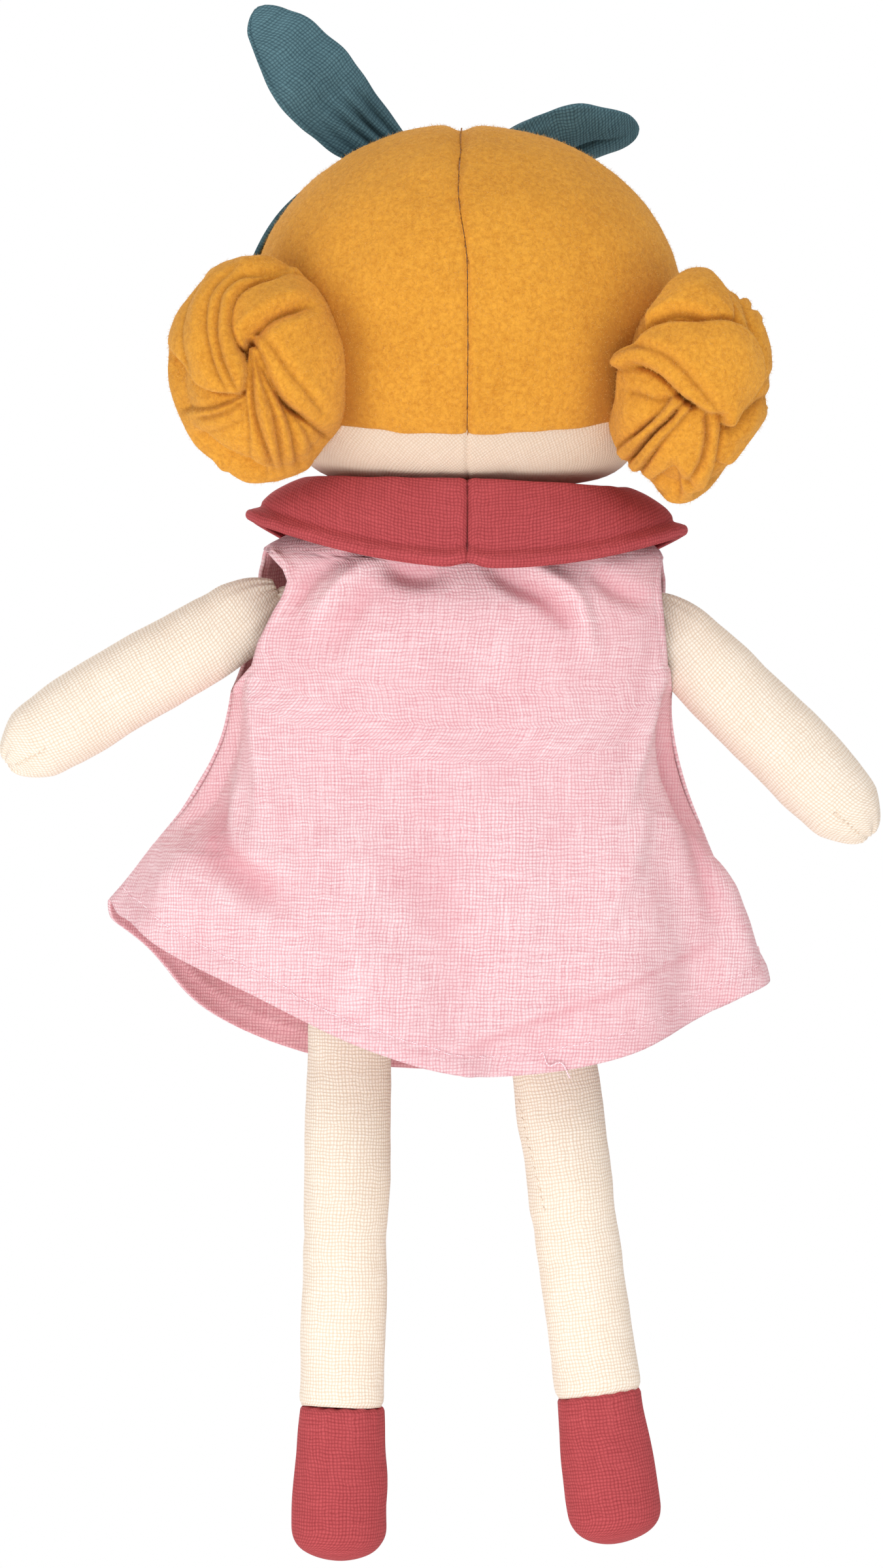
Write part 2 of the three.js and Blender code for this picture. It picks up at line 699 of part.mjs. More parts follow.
// The dress is one flared tube of cloth. Each row is its share of the way down, its reach
// to the doll's left and right, and its half depth. The body inside leans to the left.
const dressRows = [
  [0, 21, 19, 18],
  [0.02, 35, 33, 20],
  [0.06, 46.5, 44.5, 22.5],
  [0.12, 51.5, 49.5, 24],
  [0.2, 53.5, 50.5, 25.5],
  [0.32, 55.8, 50.3, 26],
  [0.43, 57.4, 50, 26.5],
  [0.56, 60, 52.8, 28],
  [0.7, 66.5, 58.8, 31],
  [0.85, 77, 66, 34],
  [1, 86.5, 73.5, 37],
];
const hemBends = { backLeft: 1.4, frontLeft: 3, right: 2.3 };

const dressTop = torsoTop - dress.below;

function hemHeightAt(across, back) {
  const side = across > 0 ? dress.hemLeftDrop : dress.hemRightDrop;
  const leftBend = back > 0 ? hemBends.backLeft : hemBends.frontLeft;
  const bend = across > 0 ? leftBend : hemBends.right;
  return -torsoTop - mix(dress.hemMiddleDrop, side, Math.abs(across) ** bend);
}

// The folds run down the skirt, deeper towards the hem, and draw it in beside each corner
const skirtFolds = { count: 9, starts: 0.4, pinch: 0.2, pinchAt: 0.8, pinchWidth: 0.12 };

function dressPoint([down, left, right, depth], angle) {
  const across = Math.cos(angle);
  const back = Math.sin(angle);
  const flare = Math.max(0, (down - skirtFolds.starts) / (1 - skirtFolds.starts));
  const beside = (Math.abs(across) - skirtFolds.pinchAt) / skirtFolds.pinchWidth;
  const pinch = 1 - skirtFolds.pinch * flare * Math.exp(-beside * beside);
  const fold = dress.foldDepth * flare * Math.cos(skirtFolds.count * angle + across);
  const x = across * ((across > 0 ? left : right) + fold);
  const y = back * (depth * pinch + fold);
  const z = mix(dressTop, hemHeightAt(across, back), down);
  return vec(x, y, z);
}

function dressRings() {
  const count = facets.dress;
  return dressRows.map((row) =>
    Array.from({ length: count }, (_, k) => dressPoint(row, ((k + 0.5) / count) * 2 * Math.PI)),
  );
}

// Moves each point of a grid of rings to its inner or under side, along its own normal
function inset(rings, by) {
  return rings.map((ring, i) =>
    ring.map((point, k) => {
      const above = rings[Math.max(i - 1, 0)][k];
      const below = rings[Math.min(i + 1, rings.length - 1)][k];
      const last = ring[(k + ring.length - 1) % ring.length];
      const next = ring[(k + 1) % ring.length];
      const normal = below.clone().sub(above).cross(next.clone().sub(last)).normalize();
      return point.clone().addScaledVector(normal, -by);
    }),
  );
}

function makeDress() {
  const outer = dressRings();
  const shell = solidOf(sleeve(outer, inset(outer, dressCloth.thickness)));
  const [, hemLeft, , hemDepth] = dressRows.at(-1);
  const holeHeight = torsoTop - armhole.below;
  const holes = ellipsePrismX(holeHeight, armhole.halfHeight, armhole.halfDepth, hemLeft);
  const wideY = hemDepth + overrun;
  const deep = -torsoTop - dress.hemMiddleDrop - overrun;
  const edge = hemLeft + overrun;
  const front = boxSolid([-edge, -wideY, deep], [edge, -half, dressTop + overrun]);
  const back = boxSolid([-edge, half, deep], [edge, wideY, dressTop + overrun]);
  const open = shell.subtract(holes);
  add("dress_front", geometryOf(open.intersect(front)), materials.pink);
  add("dress_back", geometryOf(open.intersect(back)), materials.pink);
}

// A pair of elliptic holes along X, clear of the body between them
function ellipsePrismX(height, halfHeight, halfDepth, far) {
  const start = collar.rollHalfWidth;
  const holes = [1, -1].map((facing) => {
    const rings = [start, far].map((x) =>
      ellipseRing(vec(facing * x, 0, height), vec(0, 1, 0), vec(0, 0, 1), halfDepth, halfHeight, 20),
    );
    return solidOf(loft(rings));
  });
  return holes[0].add(holes[1]);
}

// The collar rises from the neck seam, rolls over and falls to its edge, lower behind than at the sides.
// In front it dips under the chin, so that the head can nod.
const collarShares = [
  [0, 0, 0],
  [0.5, 0.55, 0],
  [1, 1, 0],
  [1, 0.93, 0.3],
  [1, 0.55, 0.72],
  [1, 0, 1],
];

function collarRings(offset, extra) {
  const rows = collarShares.map(([out, , fall]) => {
    const width = fall > 0
      ? mix(collar.rollHalfWidth, collar.edgeHalfWidth, fall)
      : mix(collar.neckHalfWidth, collar.rollHalfWidth, out);
    const depth = fall > 0
      ? mix(collar.rollHalfDepth, collar.edgeHalfDepth, fall)
      : mix(collar.neckHalfDepth, collar.rollHalfDepth, out);
    return { width, depth };
  });
  const rings = collarShares.map(([out, rise, fall], row) =>
    Array.from({ length: facets.collar }, (_, k) => {
      const angle = ((k + 0.5) / facets.collar) * 2 * Math.PI;
      const across = Math.cos(angle);
      const edgeHeight = torsoTop - mix(collar.edgeBackDrop, collar.edgeSideDrop, across ** 2);
      const low = fall > 0 ? edgeHeight : torsoTop + collar.neckRise;
      const last = row === collarShares.length - 1 ? extra : 0;
      const back = Math.sin(angle);
      const dip = back < 0 ? collar.frontDip * out * back ** 2 : 0;
      const z = mix(low, torsoTop + collar.rollRise, rise) - last - dip;
      return vec(across * rows[row].width, back * rows[row].depth, z);
    }),
  );
  return inset(rings, offset);
}

function makeCollar() {
  const upper = solidOf(sleeve(collarRings(0, 0), collarRings(collar.thickness, 0)));
  const liningTop = collar.thickness + clearance;
  const liningUnder = liningTop + collar.thickness;
  const show = collar.liningShow;
  const lining = solidOf(sleeve(collarRings(liningTop, show), collarRings(liningUnder, show)));
  const wideX = collar.edgeHalfWidth + overrun;
  const notch = boxSolid([-collar.frontGap / 2, -wideX, 0], [collar.frontGap / 2, 0, tall]);
  for (const side of ["left", "right"]) {
    const top = upper.intersect(sideOf[side]).subtract(notch);
    const under = lining.intersect(sideOf[side]).subtract(notch);
    add(`collar_${side}`, geometryOf(top), materials.rose);
    add(`collar_lining_${side}`, geometryOf(under), materials.rose);
  }
}

// A round tape binds the neck edge of the dress, just under the collar
function makeBinding() {
  const [, , neckReach, neckDepth] = dressRows[0];
  const halfWidth = neckReach - binding.radius / 2;
  const halfDepth = neckDepth - binding.radius / 2;
  const height = dressTop + binding.radius + clearance;
  const rings = Array.from({ length: facets.collar }, (_, k) => {
    const angle = (k / facets.collar) * 2 * Math.PI;
    const centre = vec(halfWidth * Math.cos(angle), halfDepth * Math.sin(angle), height);
    const out = vec(Math.cos(angle), Math.sin(angle), 0);
    return ellipseRing(centre, out, vec(0, 0, 1), binding.radius, binding.radius, 6);
  });
  add("neck_binding", loft(rings, true), materials.rose);
}

makeTorso();
makeNeck();
makeHead();
makeFace();
makeHeadband();
makeKnot();
makeEars();
makeBuns();
arms.forEach(makeArm);
makeHipSeam();
legs.forEach(makeLeg);
makeDress();
makeBinding();
makeCollar();

export default doll;
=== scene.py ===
# %% [markdown]
# # A cloth doll, seen from behind
# The doll is sewn from five fabrics: cream linen skin, mustard felt hair, a teal linen bow,
# a red linen collar with red linen feet, and a pink linen dress. This script dresses its packed
# CAD model. Every piece is measured in millimetres here and turned into metres once, when its
# mesh is made. The doll's back faces +Y and its own left side is +X.

# %% Load the frame
import bmesh
import bpy
import json
import math
import numpy as np
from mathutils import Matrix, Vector, noise

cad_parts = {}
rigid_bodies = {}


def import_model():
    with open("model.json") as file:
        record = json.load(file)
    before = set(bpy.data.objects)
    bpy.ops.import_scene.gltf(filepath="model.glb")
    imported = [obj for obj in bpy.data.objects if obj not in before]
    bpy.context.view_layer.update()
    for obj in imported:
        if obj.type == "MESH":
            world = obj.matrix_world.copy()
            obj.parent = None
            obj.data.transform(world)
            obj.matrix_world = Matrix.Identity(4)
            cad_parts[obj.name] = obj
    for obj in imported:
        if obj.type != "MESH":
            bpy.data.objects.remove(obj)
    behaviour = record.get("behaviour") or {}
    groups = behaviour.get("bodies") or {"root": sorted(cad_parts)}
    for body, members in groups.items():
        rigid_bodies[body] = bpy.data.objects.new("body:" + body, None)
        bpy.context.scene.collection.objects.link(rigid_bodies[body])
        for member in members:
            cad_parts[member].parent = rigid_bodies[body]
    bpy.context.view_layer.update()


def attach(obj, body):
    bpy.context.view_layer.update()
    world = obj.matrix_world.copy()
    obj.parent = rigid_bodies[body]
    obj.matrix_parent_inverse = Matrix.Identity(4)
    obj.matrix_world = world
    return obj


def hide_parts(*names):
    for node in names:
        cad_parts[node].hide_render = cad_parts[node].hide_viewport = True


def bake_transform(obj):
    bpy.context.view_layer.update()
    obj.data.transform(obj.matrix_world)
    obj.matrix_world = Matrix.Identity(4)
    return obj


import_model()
MM = 0.001
scene = bpy.context.scene
scene.view_settings.view_transform = "Standard"

# %% [markdown]
# ## Camera and light
# The photograph looks straight at the doll's back with a long lens: both sides of the head show
# equally and the limbs hardly shrink with depth. A camera 2.6 m away gives that. The doll is
# held at its waist, clear of the floor, so the floor lies below the picture's lower edge.

# %% Camera
PIXELS_PER_MM = 6.3
PICTURE_HEIGHT = 2400
CAMERA_DISTANCE = 2.6
SENSOR = 36.0
PICTURE_MIDDLE = (6.27, 9.0, -15.87)
middle = Vector(PICTURE_MIDDLE) * MM
camera = bpy.data.objects.new("camera", bpy.data.cameras.new("camera"))
scene.collection.objects.link(camera)
camera.data.sensor_width = SENSOR
camera.data.lens = SENSOR * CAMERA_DISTANCE / (PICTURE_HEIGHT / PIXELS_PER_MM * MM)
camera.data.clip_start, camera.data.clip_end = 0.1, 20.0
camera.location = middle + Vector((0, CAMERA_DISTANCE, 0))
camera.rotation_euler = (math.radians(90), 0, math.radians(180))
scene.camera = camera
print("lens:", round(camera.data.lens), "mm")

# %% [markdown]
# Colours are written as sRGB hex values, the way a paint chart gives them, and one function
# turns them into the linear light that shaders work in. A second small function adds a node,
# sets it and joins it to others, so that a material reads as a list of what it is made of.

# %% Colours and nodes
def colour(hex_code):
    """An sRGB hex colour as linear red, green, blue and alpha"""
    parts = [int(hex_code[i : i + 2], 16) / 255 for i in (1, 3, 5)]
    return (*[p / 12.92 if p <= 0.04045 else ((p + 0.055) / 1.055) ** 2.4 for p in parts], 1.0)


def node(tree, kind, inputs=None, **settings):
    """Adds a node. Inputs are values, other nodes (for their first output) or sockets, by name or number."""
    made = tree.nodes.new(kind)
    for key, value in settings.items():
        setattr(made, key, value)
    for key, value in (inputs or {}).items():
        if isinstance(value, bpy.types.Node):
            value = value.outputs[0]
        if isinstance(value, bpy.types.NodeSocket):
            tree.links.new(value, made.inputs[key])
        else:
            made.inputs[key].default_value = value
    return made


# %% World, lamps and floor
LAMP_GLOW, BACKDROP_GLOW = 0.6, 1.0
FLOOR_HALF, FLOOR_LEVEL = 0.9, -0.28
world = bpy.data.worlds.new("studio")
scene.world = world
world.use_nodes = True
studio = world.node_tree
studio.nodes.clear()
rays = node(studio, "ShaderNodeLightPath")
seen = rays.outputs["Is Camera Ray"]
for kind in ("Is Glossy Ray", "Is Transmission Ray"):
    seen = node(studio, "ShaderNodeMath", {0: seen, 1: rays.outputs[kind]}, operation="MAXIMUM")
glow, white = [node(studio, "ShaderNodeBackground", {"Color": colour("#ffffff"), "Strength": strength})
               for strength in (LAMP_GLOW, BACKDROP_GLOW)]
both = node(studio, "ShaderNodeMixShader", {0: seen, 1: glow, 2: white})
node(studio, "ShaderNodeOutputWorld", {"Surface": both})


def softbox(name, place, size, watts):
    """A large square lamp aimed at the middle of the doll"""
    lamp = bpy.data.lights.new(name, "AREA")
    lamp.shape, lamp.size, lamp.energy = "SQUARE", size, watts
    holder = bpy.data.objects.new(name, lamp)
    holder.location = place
    holder.rotation_euler = (middle - Vector(place)).to_track_quat("-Z", "Y").to_euler()
    scene.collection.objects.link(holder)


softbox("key_low_behind", (0.2, 1.25, -0.75), 0.8, 10.2)
softbox("fill_high_behind", (-0.4, 1.0, 1.0), 0.9, 6.6)
softbox("side_fill", (1.3, 0.6, -0.1), 0.8, 4.0)
softbox("front_fill", (0.5, -1.7, 0.6), 1.0, 15.5)

floor_mesh = bpy.data.meshes.new("floor")
corners = [(x * FLOOR_HALF, y * FLOOR_HALF, FLOOR_LEVEL) for x, y in ((-1, -1), (1, -1), (1, 1), (-1, 1))]
floor_mesh.from_pydata(corners, [], [(0, 1, 2, 3)])
floor = bpy.data.objects.new("floor", floor_mesh)
floor.visible_shadow = False  # it lies just below the doll and must not shade it from the low lamp
scene.collection.objects.link(floor)
paper = bpy.data.materials.new("white_studio_paper")
paper.use_nodes = True
paper_inputs = paper.node_tree.nodes["Principled BSDF"].inputs
paper_inputs["Base Color"].default_value = colour("#f4f3f1")
paper_inputs["Roughness"].default_value = 0.9
floor_mesh.materials.append(paper)
print("studio: 4 softboxes, world and floor")

# %% [markdown]
# ## Fabrics
# Linen is a plain weave: each thread goes over one and under the next, and now and then a thread
# is thicker, which makers call a slub. The height of such a weave can be written with two sines.
# The real threads lie 0.43 mm apart, which is one pixel in a small picture, so the pattern is
# drawn at 0.85 mm. Materials read the piece's own cloth map, in metres, so that threads follow the
# cut of the piece and bend with it. Linen has almost no gloss, and a faint sheen from loose fibres.

# %% Linen
THREAD_PITCH = 0.85 * MM


def cover(tree, shader, tone, height, strength, rise):
    """Joins a colour and a bump, whose rise is in mm, to a shader"""
    tree.links.new(tone, shader.inputs["Base Color"])
    raised = node(tree, "ShaderNodeBump", {"Height": height, "Strength": strength, "Distance": rise * MM})
    tree.links.new(raised.outputs[0], shader.inputs["Normal"])


def finish_of(name, roughness, sheen, sheen_hex, sheen_roughness=0.5):
    """A new cloth material with its shader, ready for colour and bump"""
    made = bpy.data.materials.new(name)
    made.use_nodes = True
    shader = made.node_tree.nodes["Principled BSDF"]
    for key, value in {"Roughness": roughness, "Specular IOR Level": 0.25, "Sheen Weight": sheen,
                       "Sheen Roughness": sheen_roughness, "Sheen Tint": colour(sheen_hex)}.items():
        shader.inputs[key].default_value = value
    return made, made.node_tree, shader


def plain_weave(tree, cloth_map, pitch):
    """Height of over-and-under threads, from 0 in the holes to 1 on the crowns"""
    wander = node(tree, "ShaderNodeTexNoise", {"Vector": cloth_map, "Scale": 240.0, "Detail": 2.0})
    shift = node(tree, "ShaderNodeVectorMath", {0: wander.outputs["Color"], 1: (0.5, 0.5, 0.5)},
                 operation="SUBTRACT")
    shift = node(tree, "ShaderNodeVectorMath", {0: shift, "Scale": 1.5}, operation="SCALE")
    turned = node(tree, "ShaderNodeMapping", {"Vector": cloth_map, "Scale": (1 / pitch, 1 / pitch, 1.0)})
    threads = node(tree, "ShaderNodeVectorMath", {0: turned, 1: shift}, operation="ADD")
    place = node(tree, "ShaderNodeSeparateXYZ", {0: threads})
    waves = []
    for axis in ("X", "Y"):
        angle = node(tree, "ShaderNodeMath", {0: place.outputs[axis], 1: math.pi}, operation="MULTIPLY")
        waves.append(node(tree, "ShaderNodeMath", {0: angle}, operation="SINE"))
    both = node(tree, "ShaderNodeMath", {0: waves[0], 1: waves[1]}, operation="MULTIPLY")
    parity = node(tree, "ShaderNodeMath", {0: both, 1: 0.0}, operation="GREATER_THAN")
    across, along = [node(tree, "ShaderNodeMath", {0: wave}, operation="ABSOLUTE") for wave in waves]
    crowns = []
    for thread, crossed in ((across, along), (along, across)):
        crown = node(tree, "ShaderNodeMath", {0: thread, 1: 0.6}, operation="POWER")
        dip = node(tree, "ShaderNodeMath", {0: crossed, 1: 0.65, 2: 0.35}, operation="MULTIPLY_ADD")
        crowns.append(node(tree, "ShaderNodeMath", {0: crown, 1: dip}, operation="MULTIPLY"))
    return node(tree, "ShaderNodeMix", {0: parity, 2: crowns[0], 3: crowns[1]})


def slubs(tree, cloth_map, stretch):
    """Long thick threads, as a streaky noise stretched along one thread direction"""
    long_map = node(tree, "ShaderNodeMapping", {"Vector": cloth_map, "Scale": (*stretch, 1.0)})
    streaks = node(tree, "ShaderNodeTexNoise",
                   {"Vector": long_map, "Scale": 1.0, "Detail": 2.0, "Roughness": 0.6})
    return node(tree, "ShaderNodeMapRange", {"Value": streaks, 1: 0.42, 2: 0.72})


def linen(name, thread, shade, slub_share, cloud=0.10, sheen=0.12, blush=None, depth=0.38):
    """Plain-woven linen: light threads, darker colour in the holes, slubs and soft clouds of shade.
    Where a mesh marks painted shade, the colour is pulled towards the shade colour by depth times the mark,
    and it is rouged where the mesh is marked for a blush."""
    made, tree, shader = finish_of(name, 0.92, sheen, thread)
    cloth_map = node(tree, "ShaderNodeUVMap", uv_map="cloth")
    weave = plain_weave(tree, cloth_map, THREAD_PITCH)
    weft_slubs = slubs(tree, cloth_map, (110.0, 1500.0))
    warp_slubs = slubs(tree, cloth_map, (1500.0, 90.0))
    fainter = node(tree, "ShaderNodeMath", {0: warp_slubs, 1: 0.9}, operation="MULTIPLY")
    slub = node(tree, "ShaderNodeMath", {0: weft_slubs, 1: fainter}, operation="MAXIMUM")
    clouds = node(tree, "ShaderNodeTexNoise", {"Vector": cloth_map, "Scale": 55.0, "Detail": 3.0})
    thick = node(tree, "ShaderNodeMath", {0: slub, 1: slub_share}, operation="MULTIPLY")
    body = node(tree, "ShaderNodeMath", {0: weave, 1: 1.0 - slub_share, 2: thick}, operation="MULTIPLY_ADD")
    uneven = node(tree, "ShaderNodeMath", {0: clouds, 1: 2 * cloud, 2: -cloud}, operation="MULTIPLY_ADD")
    body = node(tree, "ShaderNodeMath", {0: body, 1: uneven}, operation="ADD")
    crease = node(tree, "ShaderNodeAttribute", attribute_name="crease").outputs["Fac"]
    tone = node(tree, "ShaderNodeMix", {0: body, 6: colour(shade), 7: colour(thread)},
                data_type="RGBA").outputs[2]
    # painted shade: the crease mark times depth pulls the colour towards the shade colour
    painted_shade_share = node(tree, "ShaderNodeMath", {0: crease, 1: depth}, operation="MULTIPLY")
    tone = node(tree, "ShaderNodeMix", {0: painted_shade_share, 6: tone, 7: colour(shade)}, data_type="RGBA").outputs[2]
    if blush:
        rouge = node(tree, "ShaderNodeAttribute", attribute_name="blush").outputs["Fac"]
        tone = node(tree, "ShaderNodeMix", {0: rouge, 6: tone, 7: colour(blush)}, data_type="RGBA",
                    blend_type="MULTIPLY").outputs[2]
    height = node(tree, "ShaderNodeMath", {0: slub, 1: 0.5, 2: weave}, operation="MULTIPLY_ADD")
    cover(tree, shader, tone, height, 0.5, 0.25)
    return made


SKIN_LINEN = {"thread": "#fff6eb", "shade": "#dcc2a6", "slub_share": 0.2, "cloud": 0.06}
# depth is how far the painted shade marked on a mesh darkens each linen
cream = linen("cream_linen_weave", **SKIN_LINEN)
face_cream = linen("rouged_cream_linen_weave", **SKIN_LINEN, blush="#f59a92", depth=0.7)
pink = linen("pink_linen_weave", "#fbe4e7", "#d48b95", slub_share=0.36, cloud=0.12, sheen=0.05, depth=0.5)
# the inside of the dress: the same linen drawn darker, as painted shade
pink_inner_side_painted_shade = linen("pink_linen_inner_side_painted_shade", "#f3c3c8", "#c87681", slub_share=0.36, cloud=0.12, sheen=0.05)
red = linen("red_linen_weave", "#c5565a", "#8c3034", slub_share=0.3)
teal = linen("teal_linen_weave", "#658a94", "#26404b", slub_share=0.25, depth=0.85)
print("linens:", [m.name for m in (cream, pink, red, teal)])

# %% [markdown]
# Felt has no threads: wool fibres are matted into a thick sheet and brushed. The eye sees small
# pits and tufts 2 to 4 mm across, single fibres, and a paler rim where fibres stand out against
# the light. Three noises give pits, fibres and broad shades, sheen gives the rim, and real fibres
# are planted on the finished pieces later. Felt pieces never bend, so Object coordinates will do.

# %% Felt and threads
def felt(name, light, dark, painted_shade_colour, rim):
    """Matted wool: mottled between two colours, darkened by painted shade where its mesh is marked, with a
    paler rim
    """
    made, tree, shader = finish_of(name, 0.95, 0.25, rim, 0.55)
    place = node(tree, "ShaderNodeTexCoord").outputs["Object"]
    tufts = node(tree, "ShaderNodeTexNoise",
                 {"Vector": place, "Scale": 800.0, "Detail": 6.0, "Roughness": 0.75, "Distortion": 0.4})
    fibres = node(tree, "ShaderNodeTexNoise",
                  {"Vector": place, "Scale": 2400.0, "Detail": 2.0, "Roughness": 0.7})
    broad = node(tree, "ShaderNodeTexNoise", {"Vector": place, "Scale": 60.0, "Detail": 2.0})
    pits = node(tree, "ShaderNodeMapRange", {"Value": tufts, 1: 0.30, 2: 0.60})
    fine = node(tree, "ShaderNodeMath", {0: fibres, 1: 0.45}, operation="MULTIPLY")
    mottle = node(tree, "ShaderNodeMath", {0: pits, 1: 0.7, 2: fine}, operation="MULTIPLY_ADD")
    shade = node(tree, "ShaderNodeMath", {0: broad, 1: 0.5, 2: -0.3}, operation="MULTIPLY_ADD")
    mottle = node(tree, "ShaderNodeMath", {0: mottle, 1: shade}, operation="ADD")
    # painted shade: the crease mark pulls the colour towards painted_shade_colour
    crease = node(tree, "ShaderNodeAttribute", attribute_name="crease").outputs["Fac"]
    tone = node(tree, "ShaderNodeMix", {0: mottle, 6: colour(dark), 7: colour(light)},
                data_type="RGBA").outputs[2]
    tone = node(tree, "ShaderNodeMix", {0: crease, 6: tone, 7: colour(painted_shade_colour)}, data_type="RGBA").outputs[2]
    height = node(tree, "ShaderNodeMath", {0: fibres, 1: 0.4, 2: tufts}, operation="MULTIPLY_ADD")
    cover(tree, shader, tone, height, 0.6, 0.8)
    return made


def thread_of(name, light, dark):
    """Twisted cotton sewing thread: a fine slanting ply, with a little more gloss than cloth"""
    made, tree, shader = finish_of(name, 0.75, 0.1, light)
    place = node(tree, "ShaderNodeTexCoord").outputs["Object"]
    ply = node(tree, "ShaderNodeTexWave", {"Vector": place, "Scale": 900.0, "Distortion": 2.0, "Detail": 1.0},
               bands_direction="DIAGONAL")
    tone = node(tree, "ShaderNodeMix", {0: ply.outputs["Fac"], 6: colour(dark), 7: colour(light)},
                data_type="RGBA").outputs[2]
    tree.links.new(tone, shader.inputs["Base Color"])
    return made


mustard = felt("mustard_wool_felt", "#f0a93a", "#c2781c", "#a4621a", "#ffdca0")
nap = thread_of("loose_felt_fibre", "#f8c877", "#e0a040")
cream_thread = thread_of("cream_sewing_thread", "#f7eadb", "#dcc6ae")
pink_thread = thread_of("pink_sewing_thread", "#ffe6ea", "#eab6bf")
brown_thread = thread_of("brown_embroidery_thread", "#5a4034", "#3a2820")
rose_thread = thread_of("rose_embroidery_thread", "#c0706a", "#9c4e4b")
seam_brown = thread_of("ochre_seam_thread", "#b0742a", "#8a5a1c")
print("felt:", mustard.name, "and six threads")

# %% [markdown]
# ## Cutting and sewing tools
# Almost every piece is a grid of points: rows along it and columns across or around it. One
# function turns such a grid into a mesh with a cloth map, whose u runs along a row from the
# middle column and whose v runs down the rows, both in metres, as on the flat cut.

# %% Curves
HALVINGS = 40


def bell(distance, width):
    """1 at no distance and almost 0 at twice the width"""
    return np.exp(-((distance / width) ** 2))


def through(keys, values, at):
    """A smooth curve through a table of values, read at new places"""
    keys, values, at = np.asarray(keys, float), np.asarray(values, float), np.asarray(at, float)
    slopes = np.gradient(values, keys, axis=0)
    i = np.clip(np.searchsorted(keys, at) - 1, 0, len(keys) - 2)
    step = keys[i + 1] - keys[i]
    t = (at - keys[i]) / step
    if values.ndim > 1:
        t, step = t[:, None], step[:, None]
    a, b = values[i], values[i + 1]
    return ((1 + 2 * t) * (1 - t) ** 2 * a + t * (1 - t) ** 2 * step * slopes[i]
            + t * t * (3 - 2 * t) * b + t * t * (t - 1) * step * slopes[i + 1])


def along_path(points, count):
    """Evenly spaced points on a smooth path through a few given ones"""
    points = np.asarray(points, float)
    chord = np.concatenate([[0], np.cumsum(np.linalg.norm(np.diff(points, axis=0), axis=1))])
    fine = through(chord, points, np.linspace(0, chord[-1], 400))
    far = np.concatenate([[0], np.cumsum(np.linalg.norm(np.diff(fine, axis=0), axis=1))])
    want = np.linspace(0, far[-1], count)
    return np.stack([np.interp(want, far, fine[:, k]) for k in range(fine.shape[1])], axis=1)

# %% Grids and their unevenness
def outward(grid, around, inside):
    """Unit normals of a grid of points, facing away from a point inside it"""
    down = np.gradient(grid, axis=0)
    over = (np.roll(grid, -1, 1) - np.roll(grid, 1, 1)) if around else np.gradient(grid, axis=1)
    n = np.cross(over, down)
    n /= np.maximum(np.linalg.norm(n, axis=2, keepdims=True), 1e-9)
    return n if ((grid - np.asarray(inside, float)) * n).sum() > 0 else -n


def halve(goes_on, low, high):
    """Closes in on the place between low and high where a test stops being true"""
    for _ in range(HALVINGS):
        mid = (low + high) / 2
        still = goes_on(mid)
        low, high = np.where(still, mid, low), np.where(still, high, mid)
    return low, high


def ball_of(cols, rows, top):
    """Directions on a ball, in rings from top degrees below its pole, with their two angles"""
    turn, fall = np.meshgrid(np.linspace(0, 2 * math.pi, cols, endpoint=False),
                             np.radians(np.linspace(top, 180 - top, rows)))
    ball = np.stack([np.sin(fall) * np.cos(turn), np.sin(fall) * np.sin(turn), np.cos(fall)], axis=-1)
    return ball, turn, fall


def lumps(points, size, height, seed=0.0):
    """Soft random unevenness at points in mm, from -height to height"""
    flat = np.asarray(points, float).reshape(-1, 3) / size
    made = [noise.noise(Vector((x + seed, y - seed, z + 2 * seed))) for x, y, z in flat]
    return np.array(made).reshape(np.asarray(points).shape[:-1]) * height

